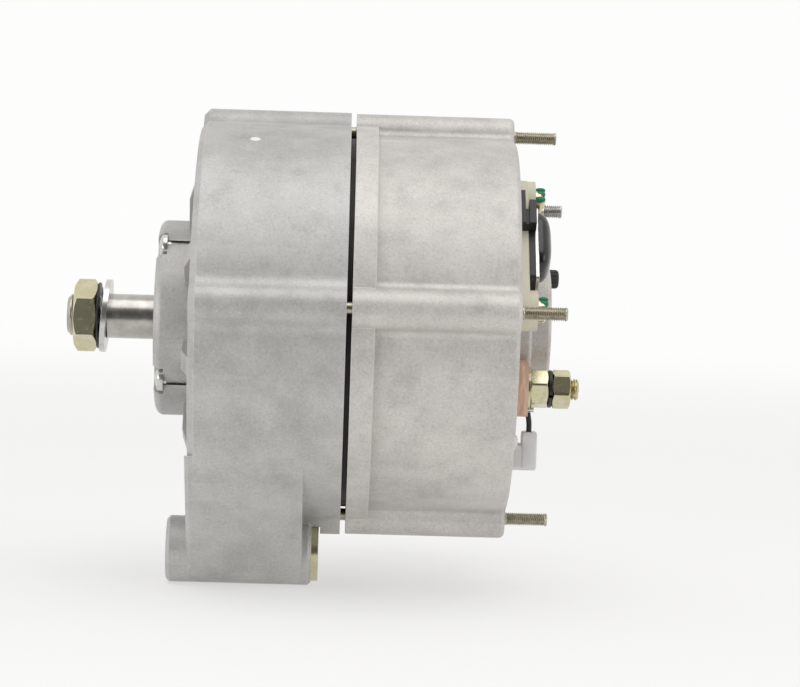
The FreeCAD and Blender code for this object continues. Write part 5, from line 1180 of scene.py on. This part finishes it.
@dataclass
class DriveEnd:
    """The shaft with its thread, its spring washer, the screws in the hub and the paint dot."""

    tip: float = -34.8 * MM
    thread_end: float = -20.1 * MM
    seat_start: float = -19.4 * MM
    seat_radius: float = 8.5 * MM
    core_radius: float = 9.5 * MM
    core: Pair = (18.0 * MM, 128.0 * MM)
    rear_end: float = 146.4 * MM
    bevel: float = 1.4 * MM
    centre_hole: tuple[Pair, ...] = ((3.0 * MM, 0.0), (1.6 * MM, 1.0 * MM), (0.0, 2.6 * MM))
    thread: Thread = M16_FINE
    washer_play: float = 0.1 * MM
    washer_tilt_room: float = 0.5 * MM
    washer_gap: float = 0.07
    washer_turn: float = math.radians(60.0)
    screw_seat: float = 4.0 * MM
    screw_circle: float = 34.7 * MM
    screw_angles: tuple[float, ...] = (45.0, 135.0, 225.0, 315.0)
    dot_radius: float = 75.6 * MM
    dot_station: float = 36.0 * MM
    dot_angle: float = math.radians(114.3)
    dot_size: Pair = (1.95 * MM, 1.75 * MM)
    dot_wobble: Pair = (0.06, 0.04)
    dot_film: float = 0.12 * MM
    dot_sink: float = 0.02 * MM

    def build(self) -> None:
        """Make the shaft, the spring washer, the screws and the paint dot."""
        self.shaft()
        self.washer()
        self.hub_screws()
        self.paint_dot()

    def shaft(self) -> None:
        """One turned rod, threaded at the drive end, with a centre hole in its face."""
        tip, end, top, seat_radius = self.tip, self.rear_end, self.thread.radius, self.seat_radius
        small = self.bevel / 2
        profile = [(tip + depth, radius) for depth, radius in self.centre_hole]
        profile += [(tip, top - self.bevel), (tip + self.bevel, top), (self.thread_end, top)]
        profile += [(self.seat_start, seat_radius), (self.core[0], seat_radius)]
        profile += [(station, self.core_radius) for station in self.core] + [(self.core[1], seat_radius)]
        profile += [(end - small, seat_radius), (end, seat_radius - small), (end, 0.0)]
        skin = rod(profile, self.thread, (tip + self.bevel, self.thread_end), sides=64)
        seat(surface("shaft", [skin]), Body.ROTOR, STEEL, "machined_steel", "rotor_shaft")

    def washer(self) -> None:
        """The black spring washer behind the nut, split at the back."""
        low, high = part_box("shaft_spring_washer")
        outer = (high.z - low.z) / 2 - self.washer_tilt_room
        inner = self.thread.radius + self.washer_play
        ring = split_ring(low.x, high.x - low.x, inner, outer, self.washer_gap, self.washer_turn)
        piece = surface("shaft_spring_washer_split", [ring])
        seat(piece, Body.ROTOR, BLACK_STEEL, "black_steel", "shaft_spring_washer")

    def hub_screws(self) -> None:
        """Four pan heads with cross recesses, one in each notch of the hub."""
        low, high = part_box("retainer_screws")
        screw = Screw(
            seat=self.screw_seat,
            points=1,
            head_radius=4.8 * MM,
            head_height=self.screw_seat - low.x,
            shank_radius=2.5 * MM,
            reach=high.x - self.screw_seat,
            thread=M5,
            plain_reach=1.0 * MM,
        )
        piece = surface("hub_screws", screw.around(self.screw_circle, self.screw_angles))
        seat(piece, Body.HOUSING, SILVER, "silver_zinc", "retainer_screws")

    def paint_dot(self) -> None:
        """A white inspection dot on the drum, laid on its curve.

        The dot is a disc in two parameters, the distance from its middle and the angle, with a
        wavy rim. Its place along X and round the drum give a point on the drum, raised a little
        in its middle and sunk a little at its rim.
        """
        share, turn = np.meshgrid(np.linspace(0.0, 1.0, 8), ring_of_points(40), indexing="ij")
        slow, quick = self.dot_wobble
        wobble = 1.0 + slow * np.sin(3 * turn) + quick * np.sin(5 * turn + 1.0)
        long, wide = self.dot_size
        along = self.dot_station + long * share * wobble * np.cos(turn)
        swing = self.dot_angle + wide / self.dot_radius * share * wobble * np.sin(turn)
        height = self.dot_radius + self.dot_film * (1.0 - share**4) - self.dot_sink * share
        piece = surface("paint_dot", [about_x(along, height, swing)])
        seat(piece, Body.HOUSING, WHITE_PAINT, "cast_aluminium")


@dataclass
class Stator:
    """The four through bolts and the wound overhangs."""

    bolt_circle: float = 73.5 * MM
    bolt_angles: tuple[float, ...] = (0.0, 90.0, 180.0, 270.0)
    bolt_seat: float = 20.0 * MM
    bolt_end: float = 150.8 * MM
    thread_start: float = 134.9 * MM
    slots: int = 36
    pitch: int = 3
    strands: int = 5
    wire_radius: float = 0.62 * MM
    wire_sides: int = 6
    overhang: float = 12.6 * MM
    inner_arch: float = 0.62
    arch_power: float = 0.6
    inner_layer: float = 54.2 * MM
    outer_layer: float = 60.4 * MM
    layer_depth: float = 3.6 * MM
    bar_pitch: float = 1.06 * MM
    bar_reach: float = 0.2 * MM
    wire_sink: float = 1.0 * MM

    def build(self) -> None:
        """Make the bolts and the windings."""
        self.bolts()
        self.windings()

    def bolts(self) -> None:
        """Long bolts with socket heads at the drive end and rolled threads at the rear."""
        bolt = Screw(
            seat=self.bolt_seat,
            points=1,
            head_radius=4.8 * MM,
            head_height=3.4 * MM,
            shank_radius=2.3 * MM,
            reach=self.bolt_end - self.bolt_seat,
            thread=M5,
            plain_reach=self.thread_start - self.bolt_seat,
            recess=Recess.HEX,
            recess_size=0.5,
            dome=0.0,
        )
        piece = surface("long_bolts", bolt.around(self.bolt_circle, self.bolt_angles))
        seat(piece, Body.HOUSING, BOLT, "silver_zinc", "through_bolts")

    def windings(self) -> None:
        """Wires that leave a slot, arch over to the slot three further on, and go down it.

        Each wire's station is the slot's end plus a sine arch of the overhang's height, which
        is a share of it for the innermost strand. Its angle goes from slot to slot by a smooth
        step, and its radius swings from the slot's inner layer to the outer one.
        """
        low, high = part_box("stator_core")
        share = np.linspace(0.0, 1.0, 13)
        smooth = share * share * (3 - 2 * share)
        step = 2 * np.pi / self.slots
        first = CLOCKING + math.pi / 2
        bar = np.linspace(low.x - self.bar_reach, high.x + self.bar_reach, 3)
        paths = []
        for k in range(self.slots):
            for strand in range(self.strands):
                depth = strand / (self.strands - 1)
                radius = self.inner_layer + depth * self.layer_depth
                radius = radius + (self.outer_layer - self.inner_layer) * smooth
                height = self.overhang * (self.inner_arch + (1 - self.inner_arch) * depth)
                arch = height * np.sin(np.pi * share) ** self.arch_power
                for end, side in ((low.x, -1), (high.x, 1)):
                    station = end + side * (arch + self.bar_reach - self.wire_sink)
                    paths.append(about_x(station, radius, first + step * (k + self.pitch * smooth)))
            layers = [self.inner_layer + layer * self.bar_pitch for layer in range(self.strands * 2)]
            paths += [about_x(bar, radius, first + step * k) for radius in layers]
        grids = [wire(path, self.wire_radius, self.wire_sides) for path in paths]
        piece = surface("wound_wires", grids, sharp=60.0)
        seat(piece, Body.HOUSING, COPPER, "copper", "stator_windings")


@dataclass
class BatteryTerminal:
    """The main stud with its nuts, its spring washer and its slotted end."""

    axis: Pair = field(default_factory=lambda: axis_of("terminal_washer"))
    thread: Thread = M8
    flats: float = 13.0 * MM
    head: float = 3.0 * MM
    head_rim: float = 2.5 * MM
    bevel: float = 0.7 * MM
    slot_depth: float = 1.4 * MM
    slot_half: float = 0.6 * MM
    slot_wall: float = 0.12 * MM
    slot_turn: float = math.radians(30.0)
    washer_play: float = 0.1 * MM
    washer_gap: float = 0.09
    washer_turn: float = math.radians(200.0)

    def build(self) -> None:
        """Make the stud, the nuts and the split washer on the stud's axis."""
        self.nut("terminal_inner_nut")
        self.nut("terminal_outer_nut")
        self.stud()
        self.washer()

    def nut(self, node: str) -> None:
        """One nut with turned corners in place of the plain one."""
        low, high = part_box(node)
        turn = corner_angle(node, *self.axis)
        nut = Nut(self.flats, low.x, high.x - low.x, self.thread.radius, turn)
        piece = surface(f"{node}_turned", [moved(nut.grid(), *self.axis)])
        seat(piece, Body.HOUSING, YELLOW, "yellow_zinc", node)

    def stud(self) -> None:
        """The threaded stud: its end is a disc with a slot sunk across it."""
        low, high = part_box("battery_stud")
        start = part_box("terminal_insulator")[1].x
        top, bevel, head_end = self.thread.radius, self.bevel, low.x + self.head
        rim = top + self.head_rim
        profile = [(low.x, 0.0), (low.x, rim), (head_end, rim), (head_end, top)]
        profile += [(start, top), (high.x - bevel, top)]
        shank = rod(profile, self.thread, (start, high.x - bevel), sides=48)
        radius, turn = np.meshgrid(np.linspace(top, 0.0, 26), ring_of_points(48), indexing="ij")
        across = radius * np.sin(turn - self.slot_turn)
        slot = self.slot_depth * np.clip((self.slot_half - np.abs(across)) / self.slot_wall, 0, 1)
        edge = np.clip((radius - (top - bevel)) / bevel, 0, 1) * bevel
        end = about_x(high.x - edge - slot * (edge < bevel), radius, turn)
        piece = surface("terminal_stud_threaded", [moved(grid, *self.axis) for grid in (shank, end)])
        seat(piece, Body.HOUSING, YELLOW_THREAD, "yellow_zinc", "battery_stud")

    def washer(self) -> None:
        """The spring washer between the nuts."""
        low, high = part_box("terminal_spring_washer")
        inner, outer = self.thread.radius + self.washer_play, (high.z - low.z) / 2
        ring = split_ring(low.x, high.x - low.x, inner, outer, self.washer_gap, self.washer_turn)
        piece = surface("terminal_split_washer", [moved(ring, *self.axis)])
        seat(piece, Body.HOUSING, BLACK_STEEL, "black_steel", "terminal_spring_washer")


@dataclass
class Regulator:
    """The glossy cover, the screws with their paint, and the springs behind the brushes.

    The dome's powers are those of its outline, of how it draws in towards the top and of how it
    rises. Each dab of paint is a place along the screw's rim and a size.
    """

    angle: float = math.radians(50.0)
    radius: float = 45.0 * MM
    screw_pitch: float = 52.0 * MM
    seat_station: float = 141.4 * MM
    cover: Pair = (12.9 * MM, 8.6 * MM)
    cover_shift: float = 3.4 * MM
    cover_foot: float = 0.12
    outline_power: float = 3.4
    draw_power: float = 2.9
    rise_power: float = 2.2
    dab_place: Pair = (2.0 * MM, 3.4 * MM)
    dab_size: Pair = (1.9 * MM, 1.1 * MM)
    dabs: tuple[Pair, ...] = ((-1.9 * MM, 1.14 * MM), (0.6 * MM, 1.38 * MM), (2.5 * MM, 0.84 * MM))
    spring_radius: float = 1.95 * MM
    spring_wire: float = 0.25 * MM
    spring_turns: float = 6.0
    steps_per_turn: int = 20
    end_turn: float = 0.1
    end_rise: float = 0.04
    squashed_share: float = 0.335
    tunnel_end: float = 45.0 * MM
    brush_top: float = 32.75 * MM

    def build(self) -> None:
        """Make the cover, the screws, the paint and both springs."""
        self.dome()
        self.screws()
        for name in ("front", "rear"):
            self.spring(name)

    def dome(self) -> None:
        """The moulded cover: a superellipse outline under a rounded top.

        Along the height parameter the outline shrinks by a power of the cosine while the
        station rises by a power of the sine. A foot of full size closes it below.
        """
        low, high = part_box("regulator_cover")
        long, wide = self.cover
        height = high.x - low.x
        rise, turn = np.meshgrid(np.linspace(0.0, np.pi / 2, 22), ring_of_points(96), indexing="ij")
        shrink = np.cos(rise) ** (2 / self.draw_power)
        lift = self.cover_foot + (1 - self.cover_foot) * np.sin(rise) ** (2 / self.rise_power)
        across = self.cover_shift + long * signed_power(np.cos(turn), 2 / self.outline_power) * shrink
        up = self.radius + wide * signed_power(np.sin(turn), 2 / self.outline_power) * shrink
        top = np.stack((low.x + height * lift, across, up), axis=-1)
        foot, middle = top[:1].copy(), np.empty_like(top[:1])
        foot[..., 0] = low.x
        middle[:] = (low.x, self.cover_shift, self.radius)
        skin = turned_about_x(np.concatenate((middle, foot, top)), self.angle)
        seat(surface("regulator_dome", [skin]), Body.HOUSING, GLOSSY, "black_plastic", "regulator_cover")

    def screws(self) -> None:
        """Two plated screws with cross recesses, each with a dab of green paint over its rim."""
        low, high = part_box("regulator_screws")
        screw = Screw(
            seat=self.seat_station,
            points=-1,
            head_radius=4.4 * MM,
            head_height=high.x - self.seat_station,
            shank_radius=2.0 * MM,
            reach=self.seat_station - low.x,
            thread=M4,
            plain_reach=8.0 * MM,
            recess_size=0.6,
        )
        grids, paint = [], []
        out, up = self.dab_place
        deep, tall = self.dab_size
        for y in (-self.screw_pitch / 2, self.screw_pitch / 2):
            grids += [moved(grid, y, self.radius) for grid in screw.grids()]
            for along, wide in self.dabs:
                paint.append(blob((self.seat_station + out, y + along, self.radius + up), (deep, wide, tall)))
        turned, dabbed = ([turned_about_x(grid, self.angle) for grid in part] for part in (grids, paint))
        piece = surface("regulator_screw_pair", turned)
        seat(piece, Body.HOUSING, YELLOW, "yellow_zinc", "regulator_screws")
        seat(surface("screw_paint", dabbed), Body.HOUSING, GREEN_PAINT, "yellow_zinc")

    def spring(self, name: str) -> None:
        """A coil spring: a helix along the brush's line with flat end turns.

        The station and the side follow a circle. The height rises evenly except over a share of
        the wire at each end, where it rises slowly. The spring stands from the brush's top to the tunnel's
        end.

        Args:
            name: The brush's name, front or rear.
        """
        low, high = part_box(f"{name}_brush_spring")
        middle = (low.x + high.x) / 2
        share = np.linspace(0.0, 1.0, int(self.spring_turns * self.steps_per_turn) + 1)
        turn = share * 2 * np.pi * self.spring_turns
        even = np.clip((share - self.end_turn) / (1 - 2 * self.end_turn), 0.0, 1.0)
        rise = even * (1 - 2 * self.end_rise) + self.end_rise + (share - 0.5) * self.end_rise
        room = self.tunnel_end - self.brush_top - 2 * self.spring_wire
        height = self.brush_top + self.spring_wire + rise * room
        side = self.spring_radius * np.sin(turn)
        path = np.stack((middle + self.spring_radius * np.cos(turn), side, height), axis=-1)
        coil = turned_about_x(wire(path, self.spring_wire, sides=8), self.angle)
        piece = surface(f"{name}_coil_spring", [coil], sharp=60.0)
        seat(piece, Body.HOUSING, STEEL, "machined_steel", f"{name}_brush_spring")
        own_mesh(piece)


@dataclass
class SmallTerminals:
    """The lamp terminal, the rectifier's screws, the phase terminal's cap and the flag connector.

    The connector's shares are of its size in the frame: half depths and half widths of its
    lobes, the foot's half height, and how far the foot stands off its middle.
    """

    lamp_thread: Thread = M5
    lamp_flats: float = 8.0 * MM
    lamp_bevel: float = 0.5 * MM
    lamp_lead_in: float = 0.1 * MM
    screw_circle: float = 55.0 * MM
    screw_angles: tuple[float, ...] = (235.0, 275.0, 315.0)
    rear_face: float = 134.4 * MM
    cap_extra: float = 2.3 * MM
    cap_rounding: float = 1.4 * MM
    cap_ribs: int = 12
    rib_share: float = 0.045
    steps_per_rib: int = 8
    lobe_depth: float = 0.3
    foot_depth: float = 0.42
    foot_width: float = 0.46
    foot_height: float = 0.34
    foot_shift: float = 0.08
    moulding_power: float = 9.0

    def build(self) -> None:
        """Make the stud, its nut, the domed screws, the cap and the connector."""
        self.lamp_terminal()
        self.rectifier_screws()
        self.cap()
        self.connector()

    def lamp_terminal(self) -> None:
        """The lamp terminal's threaded stud and its nut."""
        axis = axis_of("lamp_terminal_stud")
        low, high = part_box("lamp_terminal_stud")
        top, bevel = self.lamp_thread.radius, self.lamp_bevel
        end = high.x - bevel
        profile = [(low.x, 0.0), (low.x, top), (end, top), (high.x, top - bevel), (high.x, 0.0)]
        stud = rod(profile, self.lamp_thread, (low.x + self.lamp_lead_in, end), sides=32)
        piece = surface("lamp_stud_threaded", [moved(stud, *axis)])
        seat(piece, Body.HOUSING, SILVER_THREAD, "silver_zinc", "lamp_terminal_stud")
        low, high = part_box("lamp_terminal_nut")
        turn = corner_angle("lamp_terminal_nut", *axis)
        nut = Nut(self.lamp_flats, low.x, high.x - low.x, top, turn)
        piece = surface("lamp_nut_turned", [moved(nut.grid(), *axis)])
        seat(piece, Body.HOUSING, SILVER, "silver_zinc", "lamp_terminal_nut")

    def rectifier_screws(self) -> None:
        """Three domed screws with cross recesses on the rear face."""
        low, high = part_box("rectifier_screws")
        screw = Screw(
            seat=self.rear_face,
            points=-1,
            head_radius=3.8 * MM,
            head_height=high.x - self.rear_face,
            shank_radius=2.0 * MM,
            reach=self.rear_face - low.x,
            thread=M4,
            plain_reach=4.0 * MM,
            dome=0.4,
        )
        piece = surface("rectifier_screw_set", screw.around(self.screw_circle, self.screw_angles))
        seat(piece, Body.HOUSING, SILVER, "silver_zinc", "rectifier_screws")

    def cap(self) -> None:
        """The rough cap on the phase terminal: a round body with ribs round its side.

        The side's radius carries a cosine wave for each rib, which fades out over the rounded
        top.
        """
        low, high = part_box("phase_terminal_cap")
        radius = (high.z - low.z) / 2
        end, rounding = high.x + self.cap_extra, self.cap_rounding
        bend = np.linspace(0.0, np.pi / 2, 9)
        reach = end - rounding + rounding * np.sin(bend)
        stations = np.concatenate(((low.x, low.x), reach, (end,)))
        radii = np.concatenate(((0.0, radius), radius - rounding + rounding * np.cos(bend), (0.0,)))
        waves = np.concatenate(((0.0, 1.0), np.cos(bend), (0.0,)))
        turn = ring_of_points(self.steps_per_rib * self.cap_ribs)
        ribs = 1.0 + self.rib_share * (np.cos(self.cap_ribs * turn)[None, :] - 1.0) * waves[:, None]
        skin = about_x(stations[:, None], radii[:, None] * ribs, turn)
        piece = surface("phase_cap_ribbed", [moved(skin, *axis_of("phase_terminal_cap"))])
        seat(piece, Body.HOUSING, RUBBER, "rubber_black", "phase_terminal_cap")

    def connector(self) -> None:
        """The milky flag connector: two lobes of one shell, stepped at the lead's side.

        Each lobe is a superellipsoid, boxy enough to look like a moulding with round corners.
        """
        low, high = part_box("suppressor_connector")
        deep, wide, tall = (high[i] - low[i] for i in range(3))
        x, y, z = ((high[i] + low[i]) / 2 for i in range(3))
        lobe_place = (high.x - self.lobe_depth * deep, y, z)
        lobe = blob(lobe_place, (self.lobe_depth * deep, wide / 2, tall / 2), self.moulding_power)
        foot_tall = self.foot_height * tall
        foot_size = (self.foot_depth * deep, self.foot_width * wide, foot_tall)
        foot_place = (x - self.foot_shift * deep, y, low.z + foot_tall)
        foot = blob(foot_place, foot_size, self.moulding_power)
        piece = surface("flag_connector", [lobe, foot])
        seat(piece, Body.HOUSING, MILKY, "clear_plastic", "suppressor_connector")


def dress_frame() -> None:
    """Dress every CAD node with its finish."""
    for finish, nodes in CAD_FINISHES.items():
        for node in nodes:
            dress(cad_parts[node], finish)


def main() -> None:
    """Build the studio and every sub-assembly in order."""
    logging.basicConfig(level=logging.INFO, format="%(message)s")
    Studio().build()
    dress_frame()
    for assembly in (DriveEnd(), Stator(), BatteryTerminal(), Regulator(), SmallTerminals()):
        assembly.build()


if __name__ == "__main__":
    main()
